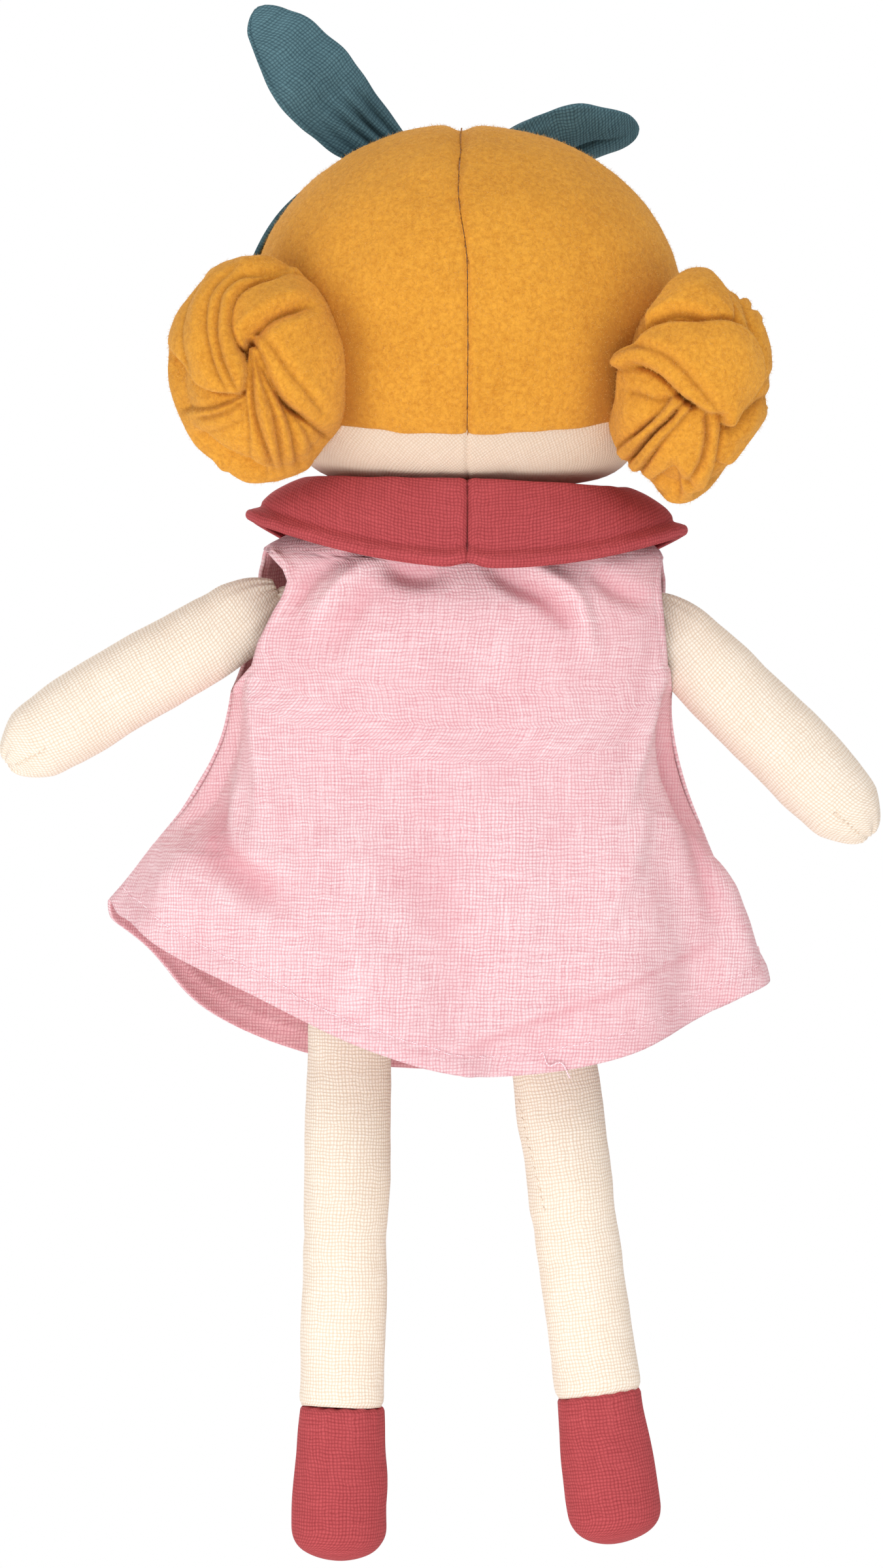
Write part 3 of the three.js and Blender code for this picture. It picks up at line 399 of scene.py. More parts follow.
# %% A piece from a grid
def piece_of(name, grid, finish, around=False, closed=(False, False), inside=None, middle_column=None,
             level=False, turned=None):
    """A mesh from rows of points in mm, with its cloth map"""
    rows, cols = grid.shape[:2]
    wrap = np.concatenate([grid, grid[:, :1]], axis=1) if around else grid
    arc = np.concatenate([np.zeros((rows, 1)),
                          np.cumsum(np.linalg.norm(np.diff(wrap, axis=1), axis=2), axis=1)], axis=1)
    mid = (wrap.shape[1] - 1) // 2 if middle_column is None else middle_column
    u = arc - arc[:, mid : mid + 1]
    steps = np.linalg.norm(np.diff(grid, axis=0), axis=2)
    fall = np.concatenate([np.zeros((1, cols)), np.cumsum(steps, axis=0)], axis=0)
    v = -(fall.mean(axis=1)[:, None] + np.zeros((rows, wrap.shape[1]))) if around else -fall
    v = wrap[..., 2] if level else v
    if turned is not None:
        c, t = math.cos(math.radians(turned)), math.sin(math.radians(turned))
        u = np.broadcast_to(u[int(rows * 0.69)], u.shape)  # the row at the nape gives the width of all
        u, v = c * u + t * v, c * v - t * u
    points = grid.reshape(-1, 3) * MM
    faces, corners = [], []
    for r in range(rows - 1):
        for c in range(wrap.shape[1] - 1):
            d = (c + 1) % cols
            faces.append((r * cols + c, r * cols + d, (r + 1) * cols + d, (r + 1) * cols + c))
            corners += [(u[r, c], v[r, c]), (u[r, c + 1], v[r, c + 1]), (u[r + 1, c + 1], v[r + 1, c + 1]),
                        (u[r + 1, c], v[r + 1, c])]
    for end, row in ((0, 0), (1, rows - 1)):
        if closed[end]:
            points = np.concatenate([points, grid[row].mean(axis=0, keepdims=True) * MM])
            pole = len(points) - 1
            for c in range(cols):
                d = (c + 1) % cols
                pair = (row * cols + d, row * cols + c) if end == 0 else (row * cols + c, row * cols + d)
                uv = [(u[row, c + 1], v[row, c + 1]), (u[row, c], v[row, c])]
                faces.append((*pair, pole))
                corners += ((uv if end == 0 else uv[::-1])
                            + [((u[row, c] + u[row, c + 1]) / 2, (v[row, c] + v[row, c + 1]) / 2)])
    mesh = bpy.data.meshes.new(name)
    mesh.from_pydata(points.tolist(), [], faces)
    layer = mesh.uv_layers.new(name="cloth")
    layer.data.foreach_set("uv", (np.array(corners) * MM).ravel())
    inside = grid.reshape(-1, 3).mean(axis=0) if inside is None else np.asarray(inside, float)
    centre = Vector(inside * MM)
    if sum((p.center - centre).dot(p.normal) * p.area for p in mesh.polygons) < 0:
        mesh.flip_normals()
    return place(name, mesh, finish)


def press(grid, normal, relief):
    """A grid whose points are moved along their normals, in mm"""
    return grid + normal * relief[..., None]


def tube(name, grid, finish, **settings):
    """A closed skin from rings of points in mm"""
    return piece_of(name, grid, finish, around=True, closed=(True, True), **settings)


def points_mm(piece):
    """A piece's points in mm"""
    return np.array([v.co for v in piece.data.vertices]) / MM


def place(name, mesh, finish):
    """Puts a mesh in the scene as a smooth piece at the origin"""
    mesh.polygons.foreach_set("use_smooth", [True] * len(mesh.polygons))
    mesh.materials.clear()
    mesh.materials.append(finish)
    made = bpy.data.objects.new(name, mesh)
    scene.collection.objects.link(made)
    return made

# %% Finishing a piece
def settle(piece):
    """Turns a piece's live modifiers into plain mesh"""
    bpy.context.view_layer.update()
    ready = piece.evaluated_get(bpy.context.evaluated_depsgraph_get())
    mesh = bpy.data.meshes.new_from_object(ready)
    piece.modifiers.clear()
    old, piece.data = piece.data, mesh
    bpy.data.meshes.remove(old)
    return piece


def thicken(piece, thickness, inner=None):
    """Gives a sheet its thickness, towards its inner side, which may have a finish of its own"""
    wall = piece.modifiers.new("thickness", "SOLIDIFY")
    if inner:
        piece.data.materials.append(inner)
        wall.material_offset = 1
    wall.thickness, wall.offset, wall.use_even_offset = thickness * MM, -1.0, False
    return settle(piece)


def paint_tone_and_shade(piece, share):
    """Marks how much a piece's colour is darkened at each point, from 0 to 1, in an attribute: painted shade,
    and on the dress also uneven tone
    """
    crease = piece.data.attributes.new("crease", "FLOAT", "POINT")
    crease.data.foreach_set("value", np.clip(share, 0, 1).ravel())


def finish_piece(piece, nodes, body=None):
    """Hides the CAD parts that a piece stands for and makes it move with its body, if it has one"""
    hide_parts(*nodes)
    if body:
        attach(piece, body)
    area = sum(polygon.area for polygon in piece.data.polygons) * 1e4
    print(f"{piece.name}: {len(piece.data.vertices)} points, area {area:.0f} cm2")
    return piece


# %% [markdown]
# Filling pushes a sewn skin outwards everywhere except along its seams. Blender's cloth does
# that with pressure and no gravity: the seam points are pinned, the skin settles for 20 frames,
# and no point may move further than a given reach, so that the piece keeps its measured shape.

# %% Stuffing
FRAMES = 20
LOW_PRESSURE, HIGH_PRESSURE = 50.0, 75.0
BESIDE_SEAM = 0.01  # as 1 minus the cosine of the turn away from it


def seams(near, rows, first=0, last=0):
    """Marks the points that seams hold on a tube: one place all along it, and its first and last rings"""
    held = np.tile(near, (rows, 1))
    held[:first] = True
    held[rows - last :] = True
    return np.append(held.ravel(), [True, True])


def stuff(piece, sewn, reach, pressure):
    """Fills a closed skin by simulation. sewn marks the points that the seams hold, reach is in mm."""
    rest = np.array([v.co for v in piece.data.vertices], float)
    pins = piece.vertex_groups.new(name="sewn")
    pins.add([int(i) for i in np.flatnonzero(sewn)], 1.0, "REPLACE")
    skin = piece.modifiers.new("filling", "CLOTH")
    s = skin.settings
    s.quality, s.mass, s.air_damping = 6, 0.0005, 3.0
    s.tension_stiffness = s.compression_stiffness = 14.0
    s.shear_stiffness, s.bending_stiffness = 6.0, 0.4
    s.use_pressure, s.uniform_pressure_force = True, pressure
    s.vertex_group_mass = "sewn"
    s.effector_weights.gravity = 0.0
    skin.collision_settings.use_collision = False
    for frame_number in range(1, FRAMES + 1):
        scene.frame_set(frame_number)
    ready = piece.evaluated_get(bpy.context.evaluated_depsgraph_get())
    moved = np.array([v.co for v in ready.data.vertices], float) - rest
    far = np.linalg.norm(moved, axis=1, keepdims=True)
    moved *= np.minimum(1.0, reach * MM / np.maximum(far, 1e-9))
    piece.modifiers.clear()
    piece.vertex_groups.clear()
    piece.data.vertices.foreach_set("co", (rest + moved).ravel())
    piece.data.update()
    scene.frame_set(1)
    print(f"{piece.name}: filling moved it {far.mean() / MM:.2f} mm on average, at most {far.max() / MM:.2f}")
    return piece


# %% [markdown]
# ## The head
# The head is a stuffed egg, fuller at the cheeks. The same rule as in the CAD model gives any
# point of it from two angles, with an offset for each layer: linen skin underneath, felt over it.

# %% Head shape
HEAD_CENTRE = 100.05
HEAD_HALF = (52.6, 44.85)
HEAD_DEPTH = {"back": 43.0, "front": 39.0}
CHEEK = 0.74
FELT_STEP = 1.7


def head_point(turn, fall, offset=0.0):
    """A point of the head. turn runs from the doll's left round its back, fall down from the crown."""
    sx, sy, sz = np.sin(fall) * np.cos(turn), np.sin(fall) * np.sin(turn), np.cos(fall)
    power = np.where(sz > 0, 1.0, CHEEK)
    fuller = np.maximum(np.hypot(sx, sy), 1e-6) ** (power - 1)
    depth = np.where(sy > 0, HEAD_DEPTH["back"], HEAD_DEPTH["front"])
    return np.stack([sx * fuller * (HEAD_HALF[0] + offset), sy * fuller * (depth + offset),
                     HEAD_CENTRE + np.sign(sz) * np.abs(sz) ** power * (HEAD_HALF[1] + offset)], axis=-1)


def face_depth(x, z, offset=0.0):
    """How far forward the face is at a place seen from the front"""
    up = (np.asarray(z, float) - HEAD_CENTRE) / (HEAD_HALF[1] + offset)
    power = np.where(up > 0, 1.0, CHEEK)
    level = np.maximum(1 - np.abs(up) ** (2 / power), 0) ** power
    inward = np.sqrt(np.maximum(level - (np.asarray(x) / (HEAD_HALF[0] + offset)) ** 2, 0))
    return -(HEAD_DEPTH["front"] + offset) * inward


def denser(start, stop, count, power=1.6):
    """Places from start to stop that lie closest together at the start"""
    return start + (stop - start) * np.linspace(0, 1, count) ** power


# %% [markdown]
# The linen of the head shows at the nape and on the face. It is one closed skin here, with the
# nape's centre seam pressed in as a fine groove. Two soft blushes warm the cheeks.

# %% Linen of the head
turns = np.concatenate([denser(90, 270, 60), denser(450, 270, 60)[::-1][1:-1]])
falls = np.radians(np.concatenate([np.linspace(2, 86, 34), 90 + denser(0.4, 87, 44, 1.5)]))
turn, fall = np.meshgrid(np.radians(turns), falls)
skin = head_point(turn, fall, -FELT_STEP - 2.0 * bell(fall, 0.15))
jaw = bell(skin[..., 2] - 61.5, 6.0) * np.cos(turn) ** 2
skin[..., 0] += 4.5 * np.sign(skin[..., 0]) * jaw
skin[..., 2] -= 1.6 * bell(skin[..., 2] - 60.5, 3.5)
normal = outward(skin, True, (0, 0, HEAD_CENTRE))
behind = skin[..., 1] > 0
groove = 0.5 * bell(skin[..., 0], 0.6) * behind
skin = press(skin, normal, lumps(skin, 14.0, 0.25, 3.0) - groove)
head_skin = tube("head_linen", skin, face_cream, turned=38)
stuff(head_skin, np.abs([v.co.x for v in head_skin.data.vertices]) < 1.0 * MM, 0.3, LOW_PRESSURE)
CHEEK_PLACE, CHEEK_SIZE = (27.0, 78.5), 6.5
at = points_mm(head_skin)
away = np.hypot(np.abs(at[:, 0]) - CHEEK_PLACE[0], at[:, 2] - CHEEK_PLACE[1])
rouge = head_skin.data.attributes.new("blush", "FLOAT", "POINT")
rouge.data.foreach_set("value", np.where(at[:, 1] < 0, 0.55 * bell(away, CHEEK_SIZE), 0))
# painted shade on the back of the head below the felt's edge, where the hair and collar shade the nape
paint_tone_and_shade(head_skin, 0.7 * np.clip(at[:, 1] / 10, 0, 1) * np.clip((74 - at[:, 2]) / 4, 0, 1))
finish_piece(head_skin,
             ["face_panel", "nape_panel_left", "nape_panel_right", "head_filling"], "head")

# %% [markdown]
# Two halves of felt meet in the centre-back seam, which pulls them in and leaves a small notch at
# the crown. Their lower edge is cut, not hemmed, so it rounds over and stands on the linen. Two
# front halves, parted in the middle, frame the face. Each half is cut from the head's rule
# between the crown and its hairline, and then gets the thickness of felt.

# %% Felt hair
FELT_THICKNESS = 1.5
HAIRLINE_BACK, HAIRLINE_RISE = 67.6, 1.8
HAIRLINE_FRONT, FRONT_DROP, PARTING, PARTING_HALF = 113.0, 24.0, 7.0, 13.0


def hairline_back(x):
    """Height of the cut edge at the nape, slightly uneven as scissors leave it"""
    return (HAIRLINE_BACK + HAIRLINE_RISE * (x / 26.3) ** 2 + 0.16 * np.sin(x / 3.1)
            + 0.1 * np.sin(x / 1.7 + 2))


def hairline_front(x):
    """Height of the front hair's edge, with its parting in the middle"""
    parted = np.maximum(0, 1 - np.abs(x) / PARTING_HALF)
    return HAIRLINE_FRONT - FRONT_DROP * (np.abs(x) / HEAD_HALF[0]) ** 2 + PARTING * parted


def fall_to(hairline, turn):
    """How far down from the crown a hairline lies"""

    def above(fall):
        p = head_point(turn, fall)
        return p[..., 2] > hairline(p[..., 0])

    low, high = halve(above, np.zeros_like(turn), np.full_like(turn, math.pi))
    return (low + high) / 2


def wander(z, back):
    """How far the crown seam strays to the doll's left"""
    if not back:
        return np.interp(z, [130, 144], [0, 1.6])
    return through([60, 100, 111, 127, 140, 150], [[0.2], [0.0], [0.2], [2.2], [1.6], [1.6]],
                   np.ravel(z)).reshape(np.shape(z))


def hair_half(name, start, stop, hairline, rows, seam_depth):
    """One felt panel from a centre seam at start to the side seam at stop, in degrees"""
    turn = np.radians(denser(start, stop, 96, 1.7))
    end = fall_to(hairline, turn)
    share = 0.0006 + 0.9994 * (0.5 - 0.5 * np.cos(math.pi * np.linspace(0, 1, rows)))
    grid = head_point(turn[None, :], share[:, None] * end[None, :])
    n = outward(grid, False, (0, 0, HEAD_CENTRE))
    x, y, z = grid[..., 0], grid[..., 1], grid[..., 2]
    crown = np.clip((z - 128) / 16, 0, 1)
    seam = seam_depth * bell(x, 0.8 + 1.9 * crown) * (0.75 + 0.75 * crown)
    side = 0.9 * bell(y, 1.2)
    pucker = 0.16 * np.sin(z * 1.25 + 0.6 * np.sin(z)) * np.exp(-np.abs(x) / 3.5)
    edge = np.linalg.norm(grid - grid[-1:], axis=2)
    under = np.maximum(FELT_THICKNESS - edge, 0)
    rounding = FELT_THICKNESS - np.sqrt(FELT_THICKNESS**2 - under**2)
    uneven = lumps(grid, 11.0, 0.35, 1.0) + lumps(grid, 3.2, 0.12, 5.0)
    grid = press(grid, n, uneven + pucker - seam - side - rounding)
    gap = 0.12 * np.sign(math.cos(math.radians((start + stop) / 2)))
    grid[..., 0] += gap * np.exp(-np.abs(grid[..., 0]) / 0.5)
    grid[..., 0] += wander(z, start == 90) * bell(x, 16.0)
    half = piece_of(name, grid, mustard, inside=(0, 0, HEAD_CENTRE), middle_column=0)
    thicken(half, FELT_THICKNESS)
    return half


for side, edge in (("left", 0.15), ("right", 179.85)):
    back = hair_half(f"felt_back_{side}", 90, edge, hairline_back, 120, 1.0)
    finish_piece(back, [f"hair_back_{side}"], "head")
    front = hair_half(f"felt_front_{side}", 270, 360 - edge, hairline_front, 60, 0.9)
    finish_piece(front, [f"hair_front_{side}"], "head")

# %% [markdown]
# ## The buns
# Each bun is a wide felt strip, pleated, wound round itself and tied into a loose knot. What shows
# is a handful of thick folds that lie over one another, with deep creases between them. A relief
# on an egg gives that: every fold is an outline with a level, a rounded rise towards its middle
# and sharp creases along it, and the highest fold wins, as paper shapes do in a pile. Outlines are
# shares of the bun's half sizes, across and up, as seen from behind. The bun's front is the same
# pile turned upside down.

# %% Folds of the buns
FOLD_GAIN, CREASE_GAIN = 1.25, 1.4
BUNS = {
    "left": {"centre": (50.3, 27.0, 84.2), "half": (23.0, 21.0, 28.0), "inset": 7.6},
    "right": {"centre": (-53.6, 25.0, 80.4), "half": (22.0, 21.0, 29.5), "inset": 6.0},
}
# Each fold: level, rise and rounding in mm, its outline, and creases as depth, width and line.
# Outlines and lines are in hundredths of the bun's half sizes.
BUN_FOLDS = {
    "left": [
        # tail behind
        (0.4, 2.0, 6, [(101, 11), (84, -4), (70, -18), (49, -26), (17, -26), (15, -35), (38, -39), (60, -45),
         (89, -46), (102, -26)],
         []),
        # lower wedge
        (1.4, 1.8, 4, [(93, -40), (76, -42), (57, -41), (37, -36), (13, -28), (9, -48), (6, -94), (38, -85),
         (81, -63), (97, -52)],
         [(0.8, 0.8, [(78, -52), (54, -50), (33, -44), (15, -35)]),
          (0.4, 1.5, [(68, -68), (38, -61), (15, -52)])]),
        # fan of pleats
        (1.6, 2.8, 6,
         [(13, 21), (0, 22), (-11, 2), (-24, -22), (-42, -46), (-68, -57), (-88, -70), (-68, -89),
         (-41, -100), (-12, -100), (9, -93), (13, -61), (17, -26), (16, 0)],
         [(1.5, 0.9, [(9, 15), (7, -18), (3, -48), (-11, -83), (-19, -100)]),
          (1.3, 0.9, [(3, 9), (-6, -18), (-19, -48), (-25, -76), (-29, -100)]),
          (1.3, 0.9, [(-1, 6), (-16, -20), (-31, -40), (-40, -63), (-44, -92)]),
          (0.7, 1.2, [(-25, -28), (-42, -48), (-58, -65), (-64, -85)])]),
        # big lobe
        (2.7, 3.2, 9, [(28, 23), (18, 18), (10, 29), (-4, 9), (-17, -15), (-33, -35), (-57, -51), (-81, -66),
         (-100, -61), (-118, -18), (-115, 22), (-94, 54), (-65, 83), (-38, 94), (-17, 87), (1, 82), (23, 71),
         (32, 57), (34, 39)],
         [(2.9, 1.5, [(-53, 56), (-33, 52), (-15, 45), (-3, 37), (9, 31)]),
          (0.9, 1.0, [(-2, 33), (-23, 11), (-41, -11), (-54, -24), (-72, -44)])]),
        # pleated band
        (3.7, 2.6, 6, [(-64, 76), (-42, 86), (-20, 88), (1, 83), (19, 73), (28, 60), (31, 42), (25, 23),
         (14, 3), (15, -18), (19, -27), (38, -27), (60, -24), (76, -14), (89, 4), (102, 22), (102, 52),
         (84, 81), (52, 100), (12, 108), (-28, 107), (-57, 96), (-73, 83)],
         [(1.6, 0.9, [(-31, 92), (-1, 88), (25, 81), (40, 68), (45, 52), (46, 33), (41, 11), (31, -11),
          (23, -24)]),
          (1.4, 0.9, [(23, 90), (43, 77), (54, 61), (57, 41), (54, 20), (48, 0), (35, -22)]),
          (1.0, 1.1, [(57, 81), (76, 58), (82, 35), (81, 13), (76, -7)])]),
    ],
    "right": [
        # outer band
        (1.8, 2.0, 5, [(-13, 98), (-38, 102), (-71, 93), (-96, 69), (-108, 38), (-104, 15), (-89, -1),
         (-80, 13), (-77, 34), (-60, 48), (-50, 56), (-47, 71), (-38, 82), (-24, 89)],
         [(1.3, 0.9, [(-41, 94), (-64, 74), (-75, 54), (-82, 32), (-85, 15)]),
          (1.0, 0.9, [(-31, 92), (-54, 77), (-68, 60), (-74, 42)])]),
        # tail at the side
        (0.9, 2.4, 6, [(-86, 21), (-104, 15), (-108, -8), (-96, -35), (-74, -59), (-45, -78), (-32, -74),
         (-36, -53), (-39, -41), (-57, -31), (-74, -18), (-85, 1)],
         [(1.6, 1.2, [(-97, -11), (-74, -27), (-53, -39), (-40, -43)])]),
        # wedge under the flap
        (1.4, 2.4, 7, [(93, 15), (76, 18), (51, 13), (33, 3), (16, -12), (26, -21), (51, -36), (73, -50),
         (93, -64), (101, -41), (98, -12)],
         [(1.4, 2.0, [(77, -8), (57, -12), (40, -16), (22, -14)])]),
        # bottom panel
        (1.0, 1.8, 4, [(15, -28), (-4, -22), (-38, -28), (-39, -53), (-33, -78), (-17, -99), (7, -103),
         (23, -81), (51, -91), (79, -94), (54, -72), (34, -49)],
         [(1.5, 0.8, [(-19, -27), (-20, -51), (-13, -74), (1, -90)]),
          (1.2, 1.2, [(24, -76), (14, -88), (-4, -95)])]),
        # upper strip
        (3.0, 1.4, 2.4, [(21, -11), (10, -16), (23, -29), (51, -48), (76, -69), (90, -80), (101, -76),
         (91, -61), (62, -44), (37, -26)],
         [(0.4, 0.6, [(18, -16), (46, -39), (79, -64)])]),
        # lower strip
        (2.6, 1.4, 2.4,
         [(11, -18), (1, -21), (14, -37), (36, -54), (56, -73), (76, -91), (90, -91), (87, -81),
         (68, -66), (43, -45), (23, -31)],
         [(0.4, 0.6, [(9, -24), (37, -47), (70, -76)])]),
        # dome
        (2.5, 3.4, 8, [(58, 45), (54, 60), (41, 75), (23, 91), (1, 101), (-20, 102), (-36, 91), (-47, 77),
         (-52, 63), (-50, 54), (-32, 55), (-18, 53), (-4, 55), (18, 56), (37, 52)],
         [(1.6, 0.9, [(54, 49), (34, 56), (15, 60), (-4, 58), (-19, 54)])]),
        # big lobe
        (3.6, 3.2, 8, [(90, 15), (89, 25), (77, 33), (62, 38), (50, 47), (23, 54), (-10, 54), (-38, 55),
         (-60, 49), (-77, 34), (-84, 17), (-85, 5), (-74, -12), (-60, -25), (-45, -40), (-38, -37),
         (-36, -29), (-21, -28), (-4, -20), (12, -12), (29, 1), (46, 11), (65, 16), (80, 12)],
         [(1.1, 1.1, [(86, 23), (65, 31), (43, 28), (23, 20), (7, 8), (-13, -10), (-27, -23)])]),
    ],
}

# %% A pile of folds
def edge_distance(points, line):
    """Distance of points from a broken line, in its own plane"""
    a, b = line[:-1], line[1:]
    d = b - a
    t = np.clip(((points[:, None] - a) * d).sum(axis=2) / np.maximum((d * d).sum(axis=1), 1e-9), 0, 1)
    return np.linalg.norm(points[:, None] - (a + t[..., None] * d), axis=2)


def inside_outline(points, line):
    """Whether points lie inside a closed line: a ray from each crosses it an odd number of times"""
    a, b = line[:-1], line[1:]
    spans = (a[:, 1] > points[:, None, 1]) != (b[:, 1] > points[:, None, 1])
    slope = (b[:, 0] - a[:, 0]) / np.where(np.abs(b[:, 1] - a[:, 1]) < 1e-9, 1e-9, b[:, 1] - a[:, 1])
    crossed = spans & (points[:, None, 0] < a[:, 0] + (points[:, None, 1] - a[:, 1]) * slope)
    return crossed.sum(axis=1) % 2 == 1


def pile_of_folds(points, half, folds):
    """Height in mm of a pile of folds over places given across and up, in mm"""
    height = np.zeros(len(points))
    for level, rise, rounding, outline, creases in folds:
        line = along_path(np.array(outline + outline[:1]) / 100 * half, 90)
        gap = edge_distance(points, line).min(axis=1)
        gap = np.where(inside_outline(points, line), gap, -1)
        near = np.clip(gap / rounding, 0, 1)
        body = FOLD_GAIN * (level + rise * np.sqrt(np.maximum(0, 1 - (1 - near) ** 2)))
        lip = np.clip(gap / 0.8, 0, 1)
        body = body - 1.0 * (1 - lip) ** 2 + 0.3 * bell(gap - 1.3, 0.8)
        for depth, width, way in creases:
            path = along_path(np.array(way) / 100 * half, 40)
            all_gaps = edge_distance(points, path)
            along = np.argmin(all_gaps, axis=1) / 38
            fade = np.clip(np.minimum(along + 0.12, 1.12 - along) / 0.25, 0, 1)
            crease = all_gaps.min(axis=1) / width
            body = (body - CREASE_GAIN * depth * fade * np.exp(-crease)
                    + 0.3 * depth * fade * bell(crease - 2.4, 1.2))
        height = np.where(gap >= 0, np.maximum(height, body), height)
    return height

# %% Shading the creases
def paint_crease_shade(piece, gain, rounds):
    """Marks painted shade in the concave places of a piece, where its colour is darkened, in an attribute"""
    mesh = piece.data
    points, normals = np.empty(len(mesh.vertices) * 3), np.empty(len(mesh.vertices) * 3)
    ends = np.empty(len(mesh.edges) * 2, int)
    mesh.vertices.foreach_get("co", points)
    mesh.vertices.foreach_get("normal", normals)
    mesh.edges.foreach_get("vertices", ends)
    points, normals, ends = points.reshape(-1, 3), normals.reshape(-1, 3), ends.reshape(-1, 2)
    count = np.bincount(ends.ravel(), minlength=len(points))
    here, there = np.concatenate([ends, ends[:, ::-1]]).T
    gap = points[there] - points[here]
    rise = (gap * normals[here]).sum(axis=1) / np.linalg.norm(gap, axis=1)
    hollow_shade = np.clip(gain * np.bincount(here, rise, len(points)) / count, 0, 1)
    for _ in range(rounds):
        hollow_shade = 0.5 * hollow_shade + 0.5 * np.bincount(here, hollow_shade[there], len(points)) / count
    paint_tone_and_shade(piece, hollow_shade)
    print(f"{piece.name}: creased to {hollow_shade.max():.2f}, {hollow_shade.mean():.3f} on average")

# %% Buns
for side, bun in BUNS.items():
    centre, half = np.array(bun["centre"]), np.array(bun["half"])
    mesh = bpy.data.meshes.new(f"felt_bun_{side}")
    ball = bmesh.new()
    bmesh.ops.create_icosphere(ball, subdivisions=7, radius=1.0)
    ball.to_mesh(mesh)
    ball.free()
    way = np.array([v.co for v in mesh.vertices], float)
    seen = way[:, [0, 2]] * half[[0, 2]]
    toward = np.clip((way[:, 1] + 0.18) / 0.36, 0, 1)
    toward = toward * toward * (3 - 2 * toward)
    behind = pile_of_folds(seen, half[[0, 2]], BUN_FOLDS[side])
    before = pile_of_folds(-seen, half[[0, 2]], BUN_FOLDS[side])
    height = before + (behind - before) * toward
    n = way / half
    n /= np.linalg.norm(n, axis=1, keepdims=True)
    seat = way * (half - bun["inset"])
    grid = centre + seat + n * (height + lumps(seat, 7.0, 0.35, 3.0) + lumps(seat, 2.2, 0.10, 7.0))[:, None]
    mesh.vertices.foreach_set("co", (grid * MM).ravel())
    bun_piece = place(f"felt_bun_{side}", mesh, mustard)
    soften = bun_piece.modifiers.new("soften", "SMOOTH")
    soften.factor, soften.iterations = 0.4, 1
    settle(bun_piece)
    # painted shade in the bun's creases
    paint_crease_shade(bun_piece, 4.0, 3)
    finish_piece(bun_piece, [f"bun_{side}"], "head")
    for hair in (bpy.data.objects[f"felt_back_{side}"], bpy.data.objects[f"felt_front_{side}"]):
        at = points_mm(hair)
        gap = np.linalg.norm((at - centre) / half, axis=1) - 1
        # painted shadow of each bun on the felt next to it, stronger below the bun's middle
        bun_shadow_strength = np.clip(1.2 - (at[:, 2] - centre[2]) / half[2], 0.35, 1)
        paint_tone_and_shade(hair, 0.75 * bun_shadow_strength * bell(np.maximum(gap, 0), 0.28))

# %% [markdown]
# ## The bow
# The headband is a folded strip of teal linen that crosses the crown just in front of its top.
# Its knot sits on it, and two ears leave the knot. Each ear is a turned, pressed leaf: two layers
# sewn round the edge, so it is thin at the rim, a little full in the middle, and pleated where
# the knot grips it.

# %% Sweeps along a path
def sweep(path, across, widths, thicks, cols, flat=1.0):
    """Rings along a path. across is the direction of the half widths. flat below 1 is boxier."""
    path = np.asarray(path, float)
    along = np.gradient(path, axis=0)
    along /= np.linalg.norm(along, axis=1, keepdims=True)
    a = np.asarray(across, float) - along * (along @ np.asarray(across, float))[:, None]
    a /= np.linalg.norm(a, axis=1, keepdims=True)
    b = np.cross(along, a)
    turn = np.linspace(0, 2 * math.pi, cols, endpoint=False)
    c = np.sign(np.cos(turn)) * np.abs(np.cos(turn)) ** flat
    s = np.sign(np.sin(turn)) * np.abs(np.sin(turn)) ** flat
    grid = path[:, None, :] + (np.asarray(widths)[:, None] * c)[..., None] * a[:, None, :]
    return grid + (np.asarray(thicks)[:, None] * s)[..., None] * b[:, None, :], turn


# %% Headband
BAND_WIDTH, BAND_THICKNESS, BAND_TWIST = 15.0, 1.2, 0.12
BAND_FRONT, BAND_SIDE, BAND_SIDE_HEIGHT, BAND_END = 29.0, 11.0, 2.95, -16.05
BAND_FALL = (BAND_FRONT - BAND_SIDE) / (HEAD_HALF[1] - BAND_SIDE_HEIGHT)


def on_head(direction_x, direction_z, y_of, offset):
    """Where a ray in a slanted plane leaves the head"""

    def inside(far):
        x, up = far * direction_x, far * direction_z
        depth = np.where(y_of(x, up) > 0, HEAD_DEPTH["back"], HEAD_DEPTH["front"]) + offset
        power = np.where(up > 0, 1.0, CHEEK)
        level = np.hypot(x / (HEAD_HALF[0] + offset), y_of(x, up) / depth) ** (2 / power)
        return level + np.abs(up / (HEAD_HALF[1] + offset)) ** (2 / power) < 1

    far, _ = halve(inside, np.zeros_like(direction_x), np.full_like(direction_x, 80.0))
    x, up = far * direction_x, far * direction_z
    return np.stack([x, y_of(x, up), HEAD_CENTRE + up], axis=-1)


swing = np.radians(np.linspace(-112, 112, 200))
lateral = np.linspace(-1, 1, 31) * BAND_WIDTH / 2 * math.hypot(1, BAND_FALL)
swing, lateral = np.meshgrid(swing, lateral, indexing="ij")
share = lateral / np.abs(lateral).max()
hem = 0.25 * bell(np.abs(share) - 0.82, 0.05)
strip = on_head(np.sin(swing), np.cos(swing),
                lambda x, up: lateral - BAND_SIDE + BAND_TWIST * x - (up - BAND_SIDE_HEIGHT) * BAND_FALL,
                1.75)
keep = strip[:, 15, 2] > HEAD_CENTRE + BAND_END
strip = strip[keep]
n = outward(strip, False, (0, 0, HEAD_CENTRE))
strip = press(strip, n, 0.25 * (1 - np.abs(share[keep]) ** 4) - hem[keep] + lumps(strip, 9.0, 0.2, 8.0))
headband = piece_of("linen_headband", strip, teal, inside=(0, 0, HEAD_CENTRE))
thicken(headband, BAND_THICKNESS)
finish_piece(headband, ["headband"], "head")

